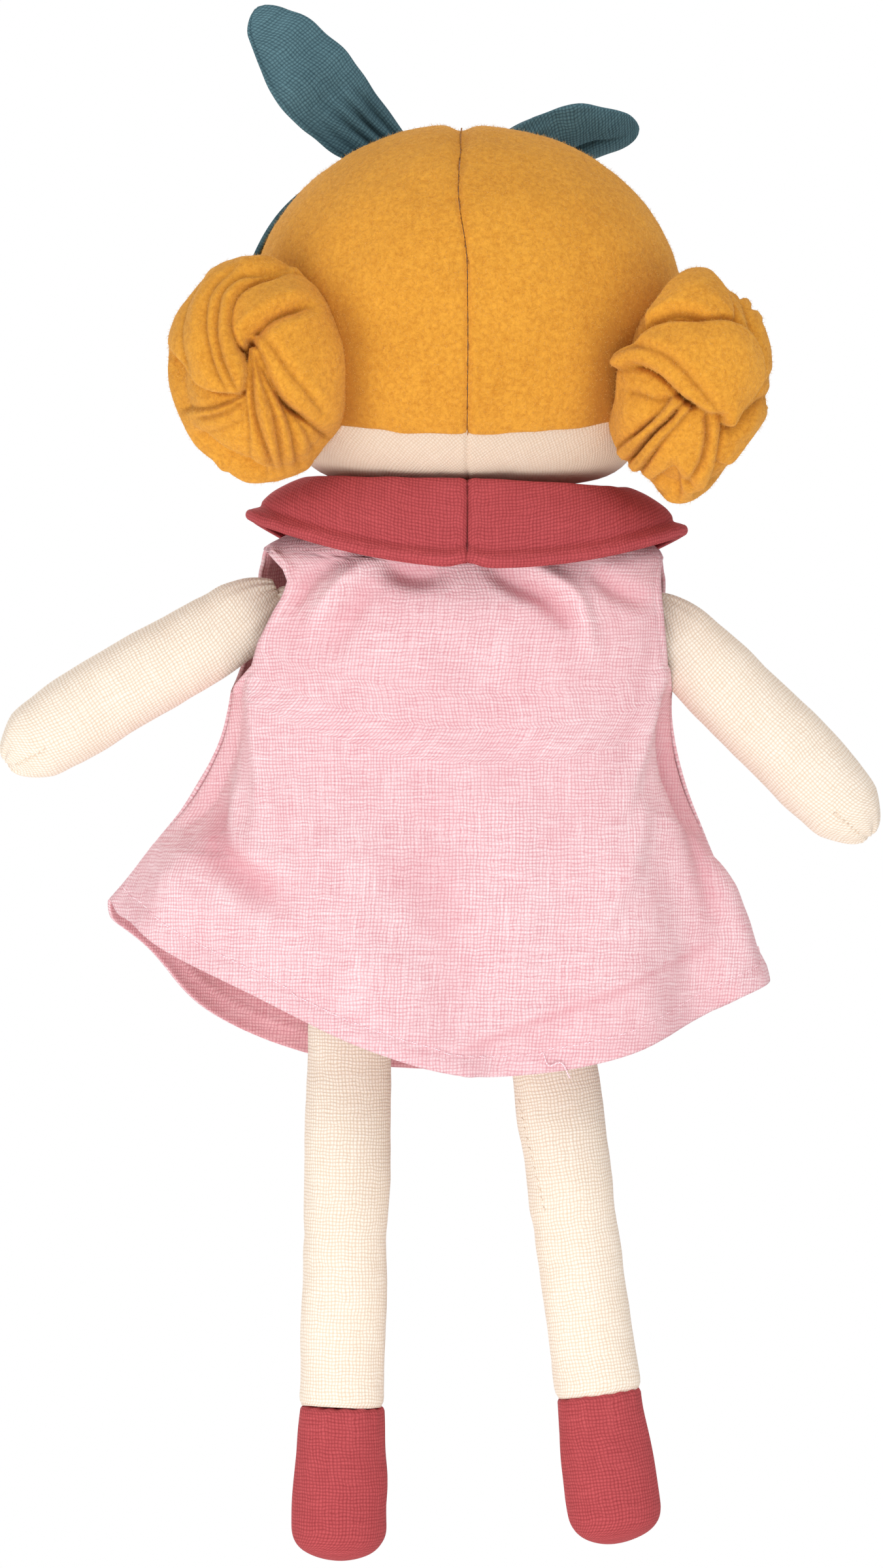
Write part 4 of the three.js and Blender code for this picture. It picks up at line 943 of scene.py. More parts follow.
# %% Knot
KNOT, KNOT_HALF = np.array([5.0, -29.0, 132.94]), np.array([5.7, 5.1, 5.7])
ball, _, _ = ball_of(72, 40, 4)
wraps = 0.35 * np.cos(9 * ball[..., 0] + 2.0 * ball[..., 1]) * np.abs(ball[..., 1])
knot = tube("linen_knot", KNOT + ball * (KNOT_HALF - 0.2 + wraps[..., None]), teal)
finish_piece(knot, ["bow_knot"], "head")

# %% Ears of the bow
EAR_HALF_WIDTH, EAR_HALF_THICKNESS, EAR_NECK = 10.2, 2.3, 3.0
EAR_SHARES = np.array([[0, .34, 1], [.12, .46, 1.3], [.3, .78, 1.25], [.5, .97, 1], [.68, 1, .9],
                       [.84, .8, .75], [.95, .52, .55], [1, .38, .4]])
EAR_ROWS, EAR_COLS = 100, 96
EARS = {
    "left": {"middle": (25.6, 3, 16.5), "tip": (46.6, 10, 41.6), "across": (0.8, 0.1, -0.6), "facing": 1,
             "rim": (0.5, 0.15), "fold": 0.2, "slit": ([0, 1], [0.78, 0.78])},
    "right": {"middle": (26, -3, 10.4), "tip": (47.5, -4, 13.2), "across": (0.1, 0.8, 0.6), "facing": -1,
              "rim": (0.1, 0.3), "fold": 1.0, "slit": ([0.45, 0.6, 0.75, 1], [-0.6, -0.32, -0.08, -0.1])},
}
for side, ear in EARS.items():
    flip = np.array([ear["facing"], 1, 1])
    way = along_path([KNOT + flip * (5.4, 0, 0), KNOT + flip * ear["middle"], KNOT + flip * ear["tip"]],
                     EAR_ROWS)
    share = np.linspace(0, 1, EAR_ROWS)
    shape = through(EAR_SHARES[:, 0], EAR_SHARES[:, 1:], share)
    tip = np.sqrt(1 - (np.clip(share - 0.93, 0, 1) / 0.0705) ** 2)
    widths = np.maximum(EAR_HALF_WIDTH * shape[:, 0] * tip, np.where(share < 0.5, EAR_NECK, EAR_NECK * 0.1))
    grid, turn = sweep(way, ear["across"], widths, EAR_HALF_THICKNESS * shape[:, 1] * np.sqrt(tip), EAR_COLS)
    n = outward(grid, True, way.mean(axis=0))
    c, s = np.cos(turn), np.sin(turn)
    grip = (1 / (1 + np.exp((share - 0.45) / 0.05)))[:, None]
    pleats = np.cos(5 * math.pi * c)[None, :] * np.abs(s)[None, :] * grip
    rim = (bell(np.abs(c) - 0.9, 0.03) * np.where(c > 0, *ear["rim"]))[None, :] * (share > 0.15)[:, None]
    at = np.interp(share, *ear["slit"])[:, None]
    folded = ear["fold"] * (n[..., 1] > 0) * np.sin(math.pi * np.clip(share * 1.05, 0, 1))[:, None]
    slit = folded * bell(c[None, :] - at, 0.08)
    flap = folded * (1.5 / (1 + np.exp((c[None, :] - at + 0.1) / 0.04)) + 2.2 * bell(c[None, :] - 0.42, 0.36))
    buckles = lumps(grid, 8.0, 0.75, 2.0)
    grid = press(grid, n, 1.1 * pleats - rim - 1.8 * slit + flap + buckles)
    leaf = tube(f"bow_leaf_{side}", grid, teal)
    # painted shade in the pleat hollows, the rim groove, the slit, at the knot's grip and in dents
    depth = 0.5 * np.maximum(-pleats, 0) + rim + slit + 0.35 * grip - 0.25 * buckles
    paint_tone_and_shade(leaf, np.append(depth, [0, 0]))
    stuff(leaf, seams(np.abs(c) > 0.97, EAR_ROWS, first=11), 0.8, HIGH_PRESSURE)
    finish_piece(leaf, [f"bow_ear_{side}"], f"bow_ear_{side}")

# %% [markdown]
# ## The face
# It can't be seen in the photograph, so it is a plain, calm one: two round satin-stitched eyes,
# a dot of a nose and a short smile, all in embroidery thread on the linen. Satin stitch is a row
# of threads side by side, so each disc is slightly domed and ribbed.

# %% Eyes and nose
def satin_dot(name, x, z, radius, rise, finish):
    """A domed, ribbed disc of thread on the face"""
    turn, out = np.meshgrid(np.linspace(0, 2 * math.pi, 48, endpoint=False), np.linspace(0.04, 1, 14))
    across, up = radius * out * np.cos(turn), radius * out * np.sin(turn)
    ribs = 0.1 * np.cos(across / 0.32 * math.pi)
    dome = np.maximum(1 - out**2, 0) ** 0.5 * rise + ribs * (out < 0.97)
    front = face_depth(x + across, z + up, -FELT_STEP) - 0.15 - dome
    edge_x, edge_z = x + across[-1:], z + up[-1:]
    rim = np.stack([edge_x, face_depth(edge_x, edge_z, -FELT_STEP) + 0.3, edge_z], axis=-1)
    grid = np.concatenate([np.stack([x + across, front, z + up], axis=-1), rim])
    dot = tube("stitched_" + name, grid, finish, inside=(x, front.mean() + 0.4, z))
    finish_piece(dot, [name], "head")


EYE_SPREAD, EYE_HEIGHT, EYE_RADIUS = 17.5, HEAD_CENTRE - 5.55, 3.1
for side, facing in (("left", 1), ("right", -1)):
    satin_dot(f"eye_{side}", facing * EYE_SPREAD, EYE_HEIGHT, EYE_RADIUS, 0.7, brown_thread)
satin_dot("nose", 0.0, HEAD_CENTRE - 13.55, 1.5, 0.5, rose_thread)

# %% [markdown]
# ## Hand and machine stitches
# Visible stitches are short pieces of thread, laid one behind the other along a line. Geometry
# Nodes suit that: the line is resampled at the stitch spacing, and a small rounded thread is set
# on every point, turned along the line. The same tree serves the mouth, the seam of the hair, the
# closed arm tips, the inner leg seam and the hem.

# %% Stitch tree
def new_tree(title, given, sizes, result):
    """An empty node tree with named inputs: some of given kinds, and sizes with defaults"""
    tree = bpy.data.node_groups.new(title, "GeometryNodeTree")
    for label, kind in given.items():
        tree.interface.new_socket(label, in_out="INPUT", socket_type="NodeSocket" + kind)
    for label, default in sizes.items():
        made = tree.interface.new_socket(label, in_out="INPUT", socket_type="NodeSocketFloat")
        made.default_value = default
    tree.interface.new_socket(result, in_out="OUTPUT", socket_type="NodeSocketGeometry")
    return tree, node(tree, "NodeGroupInput")


def set_on_points(tree, given, points, instance, rotation, long, finish):
    """Sets a unit shape on every point, long along its own Z, and turns all into dressed mesh"""
    size = node(tree, "ShaderNodeCombineXYZ",
                {"X": given.outputs["Radius"], "Y": given.outputs["Radius"], "Z": long})
    laid = node(tree, "GeometryNodeInstanceOnPoints",
                {"Points": points, "Instance": instance, "Rotation": rotation, "Scale": size})
    real = node(tree, "GeometryNodeRealizeInstances", {"Geometry": laid})
    dressed = node(tree, "GeometryNodeSetMaterial",
                   {"Geometry": real, "Material": given.outputs[finish]})
    node(tree, "NodeGroupOutput", {0: dressed})


def stitch_tree():
    """Node tree that lays rounded threads along a line"""
    tree, given = new_tree("stitches along a line", {"Line": "Geometry", "Thread": "Material"},
                           {"Spacing": 0.002, "Length": 0.0015, "Radius": 0.0002, "Slant": 0.0}, "Stitches")
    curve = node(tree, "GeometryNodeMeshToCurve", {"Mesh": given.outputs["Line"]})
    spaced = node(tree, "GeometryNodeResampleCurve",
                  {"Curve": curve, "Length": given.outputs["Spacing"]}, mode="LENGTH")
    tangent = node(tree, "GeometryNodeInputTangent")
    turned = node(tree, "FunctionNodeAlignRotationToVector", {"Vector": tangent}, axis="Z")
    uneven = node(tree, "FunctionNodeRandomValue",
                  {"Min": (-0.12, -0.12, 0.0), "Max": (0.12, 0.12, 0.0), "Seed": 7}, data_type="FLOAT_VECTOR")
    lean = node(tree, "ShaderNodeCombineXYZ", {"Y": given.outputs["Slant"]})
    slanted = node(tree, "ShaderNodeVectorMath", {0: uneven, 1: lean}, operation="ADD")
    euler = node(tree, "FunctionNodeEulerToRotation", {0: slanted})
    tilted = node(tree, "FunctionNodeRotateRotation", {0: turned, 1: euler},
                  rotation_space="LOCAL")
    bead = node(tree, "GeometryNodeMeshUVSphere", {"Segments": 6, "Rings": 5, "Radius": 1.0})
    long = node(tree, "ShaderNodeMath", {0: given.outputs["Length"], 1: 0.5}, operation="MULTIPLY")
    set_on_points(tree, given, spaced, bead, tilted, long, "Thread")
    return tree


STITCHES = stitch_tree()


def grow(piece, tree, **values):
    """Runs a node tree on a piece and keeps the result as plain mesh"""
    made = piece.modifiers.new("grow", "NODES")
    made.node_group = tree
    for item in tree.interface.items_tree:
        if item.item_type == "SOCKET" and item.in_out == "INPUT" and item.name in values:
            made[item.identifier] = values[item.name]
    settle(piece)
    piece.data.polygons.foreach_set("use_smooth", [True] * len(piece.data.polygons))
    return piece


def stitches(name, line, spacing, length, radius, finish, slant=0.0):
    """A row of stitches along a line of points in mm"""
    line = np.asarray(line, float) * MM
    mesh = bpy.data.meshes.new(name)
    mesh.from_pydata(line.tolist(), [(i, i + 1) for i in range(len(line) - 1)], [])
    row = bpy.data.objects.new(name, mesh)
    scene.collection.objects.link(row)
    grow(row, STITCHES, Spacing=spacing * MM, Length=length * MM, Radius=radius * MM, Slant=slant,
         Thread=finish)
    print(f"{name}: {len(row.data.polygons) // 30} stitches")
    return row


MOUTH_HALF, MOUTH_DROP, MOUTH_HEIGHT = 6.0, 2.0, HEAD_CENTRE - 22.05
x = np.linspace(-MOUTH_HALF, MOUTH_HALF, 30)
z = MOUTH_HEIGHT + 0.4 - MOUTH_DROP * (1 - (x / MOUTH_HALF) ** 2)
line = np.stack([x, face_depth(x, z, -FELT_STEP) - 0.25, z], axis=1)
mouth = stitches("stitched_mouth", line, spacing=1.9, length=2.3, radius=0.42, finish=rose_thread)
finish_piece(mouth, ["mouth"], "head")

# %% Seam thread at the back of the head
rise = np.linspace(HEAD_CENTRE + HEAD_HALF[1] - 0.4, HAIRLINE_BACK + 0.4, 260)
fall = np.array([fall_to(lambda x: r + 0 * x, np.array([math.pi / 2]))[0] for r in rise])
line = head_point(np.full(260, math.pi / 2), fall, -0.85)
line[:, 0] += wander(line[:, 2], True) + 0.2 * np.sin(rise * 0.9)
row = stitches("back_seam_thread", line, spacing=1.5, length=1.6, radius=0.14, finish=seam_brown, slant=0.12)
finish_piece(row, [], "head")

# %% [markdown]
# ## Nap
# Wool felt is hairy: thousands of fine fibres stand out of it, and they are what makes its outline
# soft. Geometry Nodes scatter them over the finished pieces, each a thin three-sided spike that
# leans over at random. Only faces that point away from the piece's middle get any.

# %% Fibre tree
def nap_tree():
    """Node tree that plants leaning fibres on the outer side of felt"""
    tree, given = new_tree("felt nap", {"Felt": "Geometry", "Middle": "Vector", "Fibre": "Material"},
                           {"Density": 900000.0, "Length": 0.0011, "Radius": 0.00004, "Lean": 1.2}, "Nap")
    position = node(tree, "GeometryNodeInputPosition")
    facing = node(tree, "GeometryNodeInputNormal")
    away = node(tree, "ShaderNodeVectorMath", {0: position, 1: given.outputs["Middle"]}, operation="SUBTRACT")
    away = node(tree, "ShaderNodeVectorMath", {0: away}, operation="NORMALIZE")
    dot = node(tree, "ShaderNodeVectorMath", {0: away, 1: facing}, operation="DOT_PRODUCT")
    outer = node(tree, "FunctionNodeCompare", {0: dot.outputs["Value"], 1: 0.1}, data_type="FLOAT",
                 operation="GREATER_THAN")
    points = node(tree, "GeometryNodeDistributePointsOnFaces",
                  {"Mesh": given.outputs["Felt"], "Selection": outer,
                   "Density": given.outputs["Density"], "Seed": 3})
    back = node(tree, "ShaderNodeMath", {0: given.outputs["Lean"], 1: -1.0}, operation="MULTIPLY")
    low, high = [node(tree, "ShaderNodeCombineXYZ", {"X": most, "Y": most})
                 for most in (back, given.outputs["Lean"])]
    tilt = node(tree, "FunctionNodeRandomValue", {"Min": low, "Max": high, "Seed": 11},
                data_type="FLOAT_VECTOR")
    tilt = node(tree, "FunctionNodeEulerToRotation", {0: tilt})
    turned = node(tree, "FunctionNodeRotateRotation", {0: points.outputs["Rotation"], 1: tilt},
                  rotation_space="LOCAL")
    spike = node(tree, "GeometryNodeMeshCone",
                 {"Vertices": 3, "Side Segments": 1, "Radius Top": 0.0, "Radius Bottom": 1.0, "Depth": 1.0},
                 fill_type="NONE")
    long = node(tree, "FunctionNodeRandomValue", {2: 0.4, 3: 1.0, "Seed": 5}, data_type="FLOAT")
    long = node(tree, "ShaderNodeMath", {0: long.outputs[1], 1: given.outputs["Length"]},
                operation="MULTIPLY")
    set_on_points(tree, given, points.outputs["Points"], spike.outputs["Mesh"], turned, long, "Fibre")
    return tree


NAP = nap_tree()
for source, middle_mm, density in (
    ("felt_back_left", (0, 0, HEAD_CENTRE), 1.0), ("felt_back_right", (0, 0, HEAD_CENTRE), 1.0),
    ("felt_front_left", (0, 0, HEAD_CENTRE), 0.8), ("felt_front_right", (0, 0, HEAD_CENTRE), 0.8),
    ("felt_bun_left", BUNS["left"]["centre"], 1.0), ("felt_bun_right", BUNS["right"]["centre"], 1.0),
):
    fuzz = bpy.data.objects.new(source.replace("felt", "nap"), bpy.data.objects[source].data.copy())
    scene.collection.objects.link(fuzz)
    grow(fuzz, NAP, Middle=tuple(Vector(middle_mm) * MM), Density=density * 1e6, Fibre=nap)
    finish_piece(fuzz, [], "head")

# %% [markdown]
# ## Body and neck
# Under the dress is a plain stuffed bag of cream linen. It leans a little to the doll's left, and
# its shoulders narrow quickly to the neck. The neck is a small ball of the same linen.

# %% Body
TORSO_LENGTH, TORSO_HALF_WIDTH, TORSO_HALF_DEPTH, TORSO_LEAN = 104.0, 40.5, 21.0, 5.0
TORSO_SHARES = np.array([[-.5, .86, .12], [-.46, .93, .4], [-.38, .97, .72], [-.24, .99, .94], [0, .93, 1],
                         [.24, .98, .96], [.36, .95, .82], [.42, .78, .68], [.465, .45, .56], [.5, .3, .5]])
share = np.concatenate([np.linspace(-0.5, -0.4, 12), np.linspace(-0.385, 0.34, 40),
                        np.linspace(0.35, 0.5, 16)])
shape = through(TORSO_SHARES[:, 0], TORSO_SHARES[:, 1:], share)
turn = np.linspace(0, 2 * math.pi, 120, endpoint=False)
lean = TORSO_LEAN * (0.5 - share)[:, None]
body = np.stack([lean + (TORSO_HALF_WIDTH * shape[:, :1] - 0.3) * np.cos(turn),
                 (TORSO_HALF_DEPTH * shape[:, 1:] - 0.3) * np.sin(turn),
                 share[:, None] * TORSO_LENGTH + 0 * turn], axis=-1)
body = press(body, outward(body, True, (2.5, 0, 0)), lumps(body, 16.0, 0.3) - 0.35 * bell(np.sin(turn), 0.05))
body_skin = tube("body_skin", body, cream)
stuff(body_skin, seams(np.abs(np.sin(turn)) < 0.05, len(share)), 0.25, LOW_PRESSURE)
finish_piece(body_skin, ["torso_cover", "torso_filling"], "torso")

# %% Neck
NECK_CENTRE, NECK_RADIUS = 64.35, 12.0
ball, turn, fall = ball_of(96, 40, 6)
pucker = 0.3 * np.cos(16 * turn) * bell(fall - 2.5, 0.5) - 0.15
neck_skin = tube("neck_skin", np.array([0, 0, NECK_CENTRE]) + ball * (NECK_RADIUS + pucker - 0.1)[..., None],
                 cream)
finish_piece(neck_skin, ["neck_cover", "neck_filling"], "neck")

# %% [markdown]
# ## Arms
# Each arm is a tube of linen with a seam along its lower edge, stuffed firmly and sagging a
# little. It is gathered into its shoulder, and its tip is turned in and closed with a few
# overhand stitches. The gather is a tight little rosette of pleats.

# %% Arm skins
SKIN_INSET = 0.25
SHOULDER_RADIUS = 3.1
ARM_LENGTH, ARM_HALF_WIDTH, ARM_HALF_DEPTH, ARM_SAG = 79.0, 10.8, 9.6, 2.4
ARM_SHARES = np.array([[0.0, .25, .2], [.05, .58, .42], [.12, .84, .72], [.22, .93, .86], [.4, .98, .97],
                       [.62, 1, 1], [.82, .95, .97], [.92, .8, .8], [.98, .42, .42], [1.0, .12, .12]])
ARMS = {"left": {"facing": 1, "below": 22.6, "droop": 28.0},
        "right": {"facing": -1, "below": 24.8, "droop": 42.3}}
for side, arm in ARMS.items():
    facing, droop = arm["facing"], math.radians(arm["droop"])
    height = TORSO_LENGTH / 2 - arm["below"]
    reach = TORSO_HALF_WIDTH * 0.98 + 0.35 + SHOULDER_RADIUS
    arm["root"] = np.array([TORSO_LEAN * (0.5 - height / TORSO_LENGTH) + facing * reach, 0, height])
    arm["out"] = np.array([facing * math.cos(droop), 0, -math.sin(droop)])
    arm["up"] = np.array([facing * math.sin(droop), 0, math.cos(droop)])
    share = np.concatenate([np.linspace(0.012, 0.2, 24), np.linspace(0.215, 0.8, 44),
                            np.linspace(0.81, 0.998, 26)])
    rise = 1.9 * bell(share, 0.16) - ARM_SAG * share**2 - 1.3 * np.clip((share - 0.55) / 0.45, 0, 1) ** 2
    way = arm["root"] + ARM_LENGTH * share[:, None] * arm["out"] + rise[:, None] * arm["up"]
    shape = through(ARM_SHARES[:, 0], ARM_SHARES[:, 1:], share)
    tip = np.sqrt(np.clip((1.0 - share) / 0.10, 0, 1))
    widths, thicks = [np.where(share > 0.9, 0.80 * half * tip**0.9 + 0.8, half * rows) - SKIN_INSET
                      for half, rows in ((ARM_HALF_WIDTH, shape[:, 0]), (ARM_HALF_DEPTH, shape[:, 1]))]
    grid, turn = sweep(way, arm["up"], widths, thicks, 88, 0.94)
    n = outward(grid, True, way.mean(axis=0))
    gathers = 0.55 * np.cos(13 * turn)[None, :] * np.exp(-share / 0.07)[:, None]
    closing = 0.35 * np.cos(9 * turn)[None, :] * np.exp(-(1 - share) / 0.03)[:, None]
    under = np.cos(turn + math.pi)
    seam = 0.55 * bell(1 - under, 0.006)[None, :] * (share < 0.97)[:, None]
    uneven = lumps(grid, 12.0, 0.45, 4.0) + lumps(grid, 5.0, 0.12, 9.0)
    grid = press(grid, n, gathers + closing - seam + uneven)
    skin = tube(f"arm_skin_{side}", grid, cream)
    stuff(skin, seams(1 - under < BESIDE_SEAM, len(share), first=6), 0.5, HIGH_PRESSURE)
    finish_piece(skin, [f"arm_cover_{side}", f"arm_filling_{side}"], f"arm_{side}")
    ball, _, _ = ball_of(72, 30, 5)
    folds = SHOULDER_RADIUS - 0.25 + 0.22 * np.cos(11 * np.arctan2(ball[..., 1], ball[..., 2]))
    gather = tube(f"shoulder_pleats_{side}", arm["root"] + ball * folds[..., None], cream)
    finish_piece(gather, [f"shoulder_gather_{side}"], f"arm_{side}")

# %% Closing stitches at the arm tips
def on_skin(piece, ends, count):
    """Points between two places seen from behind, in mm across and up, on a piece's surface"""
    seen = points_mm(piece)[np.array([v.normal.y for v in piece.data.vertices]) > 0.05]
    middle_place = (np.array(ends[0]) + np.array(ends[1])) / 2
    flat = along_path([ends[0], middle_place, ends[1]], count)
    gap = np.linalg.norm(flat[:, None] - seen[None][..., [0, 2]], axis=2)
    near = np.argsort(gap, axis=1)[:, :4]
    weight = 1 / (np.take_along_axis(gap, near, axis=1) + 0.05)
    depth = (seen[near, 1] * weight).sum(axis=1) / weight.sum(axis=1)
    return np.stack([flat[:, 0], depth + 0.12, flat[:, 1]], axis=1)


for side, arm in ARMS.items():
    ends = [arm["root"] + reach * arm["out"] - 5.0 * arm["up"] for reach in (69.0, 76.5)]
    line = on_skin(bpy.data.objects[f"arm_skin_{side}"], [(end[0], end[2]) for end in ends], 14)
    row = stitches(f"closing_stitches_{side}", line, spacing=1.3, length=2.4, radius=0.2, finish=cream_thread,
                   slant=1.0)
    finish_piece(row, [], f"arm_{side}")

# %% [markdown]
# ## Legs and feet
# A leg is a long stuffed tube, flat at its top where it is sewn into the seam under the body. Its
# foot is a separate piece of red linen, sewn on round the ankle, so a dark line shows there. The
# seam runs down the inner side, and a few hand stitches close the opening for the filling.

# %% Leg skins and feet
HIP_LINE, TAPE_RADIUS = -54.65, 2.15
LEG_LENGTH, LEG_HALF_WIDTH, LEG_HALF_DEPTH, SHOE_LENGTH = 150.7, 10.8, 9.4, 38.0
SHOE_HALF_WIDTH, SHOE_HALF_DEPTH, TOE = 11.9, 11.2, 1.6
LEG_START = 0.0185  # share of the leg's length that the seam takes
LEG_SHARES = np.array([[2.65 / LEG_LENGTH, .8, .24], [.07, .92, .62], [.14, .98, .88], [.24, 1, 1],
                       [.6, .98, 1]])
SHOE_SHARES = np.array([[0, .9, .86], [.2, .93, .9], [.5, 1, .97], [.8, 1, 1], [1, .98, 1]])
LEGS = {"left": {"facing": 1, "spread": 27.8, "splay": 1.4, "shorter": 0.0},
        "right": {"facing": -1, "spread": 16.9, "splay": 7.8, "shorter": 3.2}}
for side, leg in LEGS.items():
    facing, splay = leg["facing"], math.radians(leg["splay"])
    leg["root"] = np.array([facing * leg["spread"], 0, HIP_LINE])
    leg["down"] = np.array([facing * math.sin(splay), 0, -math.cos(splay)])
    leg["side"] = np.array([math.cos(splay), 0, facing * math.sin(splay)])
    leg["length"] = LEG_LENGTH - leg["shorter"]
    ankle = 1 - SHOE_LENGTH / LEG_LENGTH
    cuff = [ankle, .9 * SHOE_HALF_WIDTH / LEG_HALF_WIDTH, .86 * SHOE_HALF_DEPTH / LEG_HALF_DEPTH]
    table = np.concatenate([LEG_SHARES, [cuff]])
    share = np.concatenate([np.linspace(LEG_START, 0.2, 26), np.linspace(0.21, ankle - 0.006, 62),
                            [ankle - 0.002, ankle + 0.002, ankle + 0.004]])
    shape = through(table[:, 0], table[:, 1:], share)
    at_ankle = np.where(share > ankle - 0.012, np.clip((share - ankle + 0.012) / 0.012, 0, 1), 0) ** 2 * 0.7
    at_ankle[-1] = 3.5
    widths, thicks = [half * rows - SKIN_INSET - at_ankle
                      for half, rows in ((LEG_HALF_WIDTH, shape[:, 0]), (LEG_HALF_DEPTH, shape[:, 1]))]
    way = leg["root"] + leg["length"] * share[:, None] * leg["down"]
    grid, turn = sweep(way, leg["side"], widths, thicks, 80, 0.95)
    level = np.clip(1 - (share - LEG_START) / 0.05, 0, 1)[:, None]
    grid[..., 2] -= level * (grid[..., 0] - leg["root"][0]) * math.tan(splay) * facing
    n = outward(grid, True, way.mean(axis=0))
    inner = -facing * np.cos(turn)
    seam = 0.6 * bell(1 - inner, 0.006)[None, :]
    dents = 0.5 * bell(share - 0.47, 0.02)[:, None] * (0.6 + 0.4 * np.cos(turn - 1.0))[None, :]
    grid = press(grid, n, lumps(grid, 13.0, 0.5, 6.0) + lumps(grid, 5.0, 0.12, 2.0) - seam - dents)
    skin = tube(f"leg_skin_{side}", grid, cream)
    stuff(skin, seams(1 - inner < BESIDE_SEAM, len(share), first=3, last=4), 0.45, HIGH_PRESSURE)
    finish_piece(skin, [f"leg_cover_{side}", f"leg_filling_{side}"], f"leg_{side}")
    step = np.concatenate([[0.0, 0.004, 0.012, 0.03], np.linspace(0.06, 0.86, 34),
                           1 - 0.13 * np.linspace(0.95, 0.04, 26) ** 2])
    shape = through(SHOE_SHARES[:, 0], SHOE_SHARES[:, 1:], step)
    toe = (1 - np.clip((step - 0.76) / 0.24, 0, 1) ** 2.6) ** 0.45
    widths = shape[:, 0] * toe * SHOE_HALF_WIDTH - SKIN_INSET
    thicks = shape[:, 1] * toe * SHOE_HALF_DEPTH - SKIN_INSET
    lip = np.array([2.5, 0.7, 0.25, 0.0])
    widths[:4] -= lip
    thicks[:4] -= lip
    way = leg["root"] + leg["length"] * (ankle + 0.001 + (1 - ankle - 0.001) * step[:, None]) * leg["down"]
    way[:, 1] -= TOE * step
    grid, turn = sweep(way, leg["side"], np.maximum(widths, 0.5), np.maximum(thicks, 0.5), 80, 0.94)
    n = outward(grid, True, way.mean(axis=0))
    seam = 0.6 * bell(1 - np.abs(np.cos(turn)), 0.008)[None, :]
    ease = 0.18 * np.cos(15 * turn)[None, :] * np.exp(-step / 0.12)[:, None]
    grid = press(grid, n, lumps(grid, 10.0, 0.4, 3.0) + ease - seam)
    foot = tube(f"foot_skin_{side}", grid, red)
    stuff(foot, seams(1 - np.abs(np.cos(turn)) < BESIDE_SEAM, len(step), first=4), 0.5, HIGH_PRESSURE)
    finish_piece(foot, [f"shoe_{side}"], f"leg_{side}")

# %% Hand stitches down the inner side of the right leg
line = on_skin(bpy.data.objects["leg_skin_right"], [(-12.6, -93.0), (-18.6, -119.0)], 40)
row = stitches("leg_closing_stitches", line, spacing=2.4, length=1.8, radius=0.18, finish=cream_thread,
               slant=0.4)
finish_piece(row, [], "leg_right")

# %% [markdown]
# Both legs are caught in one seam under the body. Its allowance is rolled into a round tape.

# %% Hip seam
left = LEGS["left"]["spread"] + 0.8 * LEG_HALF_WIDTH
right = -LEGS["right"]["spread"] - 0.8 * LEG_HALF_WIDTH
way = along_path([(left, 0, HIP_LINE), ((left + right) / 2, 0, HIP_LINE), (right, 0, HIP_LINE)], 120)
ends = np.sqrt(np.clip(np.minimum(np.linspace(0, 1, 120), np.linspace(1, 0, 120)) / 0.012, 0.05, 1))
grid, turn = sweep(way, (0, 1, 0), TAPE_RADIUS * ends, TAPE_RADIUS * ends, 28)
relief = lumps(grid, 3.0, 0.12) + 0.08 * np.sin(way[:, :1] * 2.1)
grid = press(grid, outward(grid, True, way.mean(axis=0)), relief)
tape = tube("rolled_hip_tape", grid, cream)
finish_piece(tape, ["hip_seam_tape"], "hip_seam")

# %% [markdown]
# ## The dress
# The dress is cut from two panels of pink linen, seamed at the sides below the armholes. Each is
# a single layer, so a mesh sheet with a small thickness fits it. Its rows run down from the neck,
# and its columns run from side seam to side seam. Folds, tucks and the turned hem are given as
# lines across the panel, each with a width and a height, and pressed into it.

# %% Dress shape
TORSO_TOP = 52.0
DRESS_TOP = TORSO_TOP - 2.5
DRESS_ROWS = np.array([[0, 21, 19, 18], [.02, 35, 33, 20], [.06, 46.5, 44.5, 22.5], [.12, 51.5, 49.5, 24],
                       [.2, 53.5, 50.5, 25.5], [.32, 55.8, 50.3, 26], [.43, 57.4, 50, 26.5],
                       [.56, 60, 52.8, 28], [.7, 66.5, 58.8, 31], [.85, 77, 66, 34], [1, 86.5, 73.5, 37]])
HEM_LEFT, HEM_RIGHT, HEM_MIDDLE = -47.5, -63.0, -86.2
HOLE_HEIGHT, HOLE_HALF_HEIGHT, HOLE_HALF_DEPTH = 24.2, 17.6, 10.2


def dress_point(down, angle):
    """A point of the dress: down is 0 at the neck and 1 at the hem, angle 90 degrees is the back"""
    rows = through(DRESS_ROWS[:, 0], DRESS_ROWS[:, 1:], np.ravel(down)).reshape(*np.shape(down), 3)
    across, back = np.cos(angle), np.sin(angle)
    flare = np.maximum(0, (down - 0.4) / 0.6)
    pinch = 1 - 0.2 * flare * bell(np.abs(across) - 0.8, 0.12)
    fold = 1.7 * flare * np.cos(9 * angle + across)
    box = 0.80 + 0.2 * np.clip((down - 0.75) / 0.25, 0, 1) + 0.15 * np.clip(1 - down / 0.1, 0, 1)
    x = np.sign(across) * np.abs(across) ** box * (np.where(across > 0, rows[..., 0], rows[..., 1]) + fold)
    y = np.sign(back) * np.abs(back) ** box * (rows[..., 2] * pinch + fold)
    bend = np.where(across > 0, np.where(back > 0, 1.4, 3.0), 2.3)
    side = np.where(across > 0, HEM_LEFT, HEM_RIGHT)
    hem = HEM_MIDDLE + (side - HEM_MIDDLE) * np.abs(across) ** bend
    return np.stack([x, y, DRESS_TOP + (hem - DRESS_TOP) * down], axis=-1)


def hole_edge(z):
    """How far behind the side seam the cloth starts at the armhole"""
    return HOLE_HALF_DEPTH * np.sqrt(np.maximum(0, 1 - ((z - HOLE_HEIGHT) / HOLE_HALF_HEIGHT) ** 2))


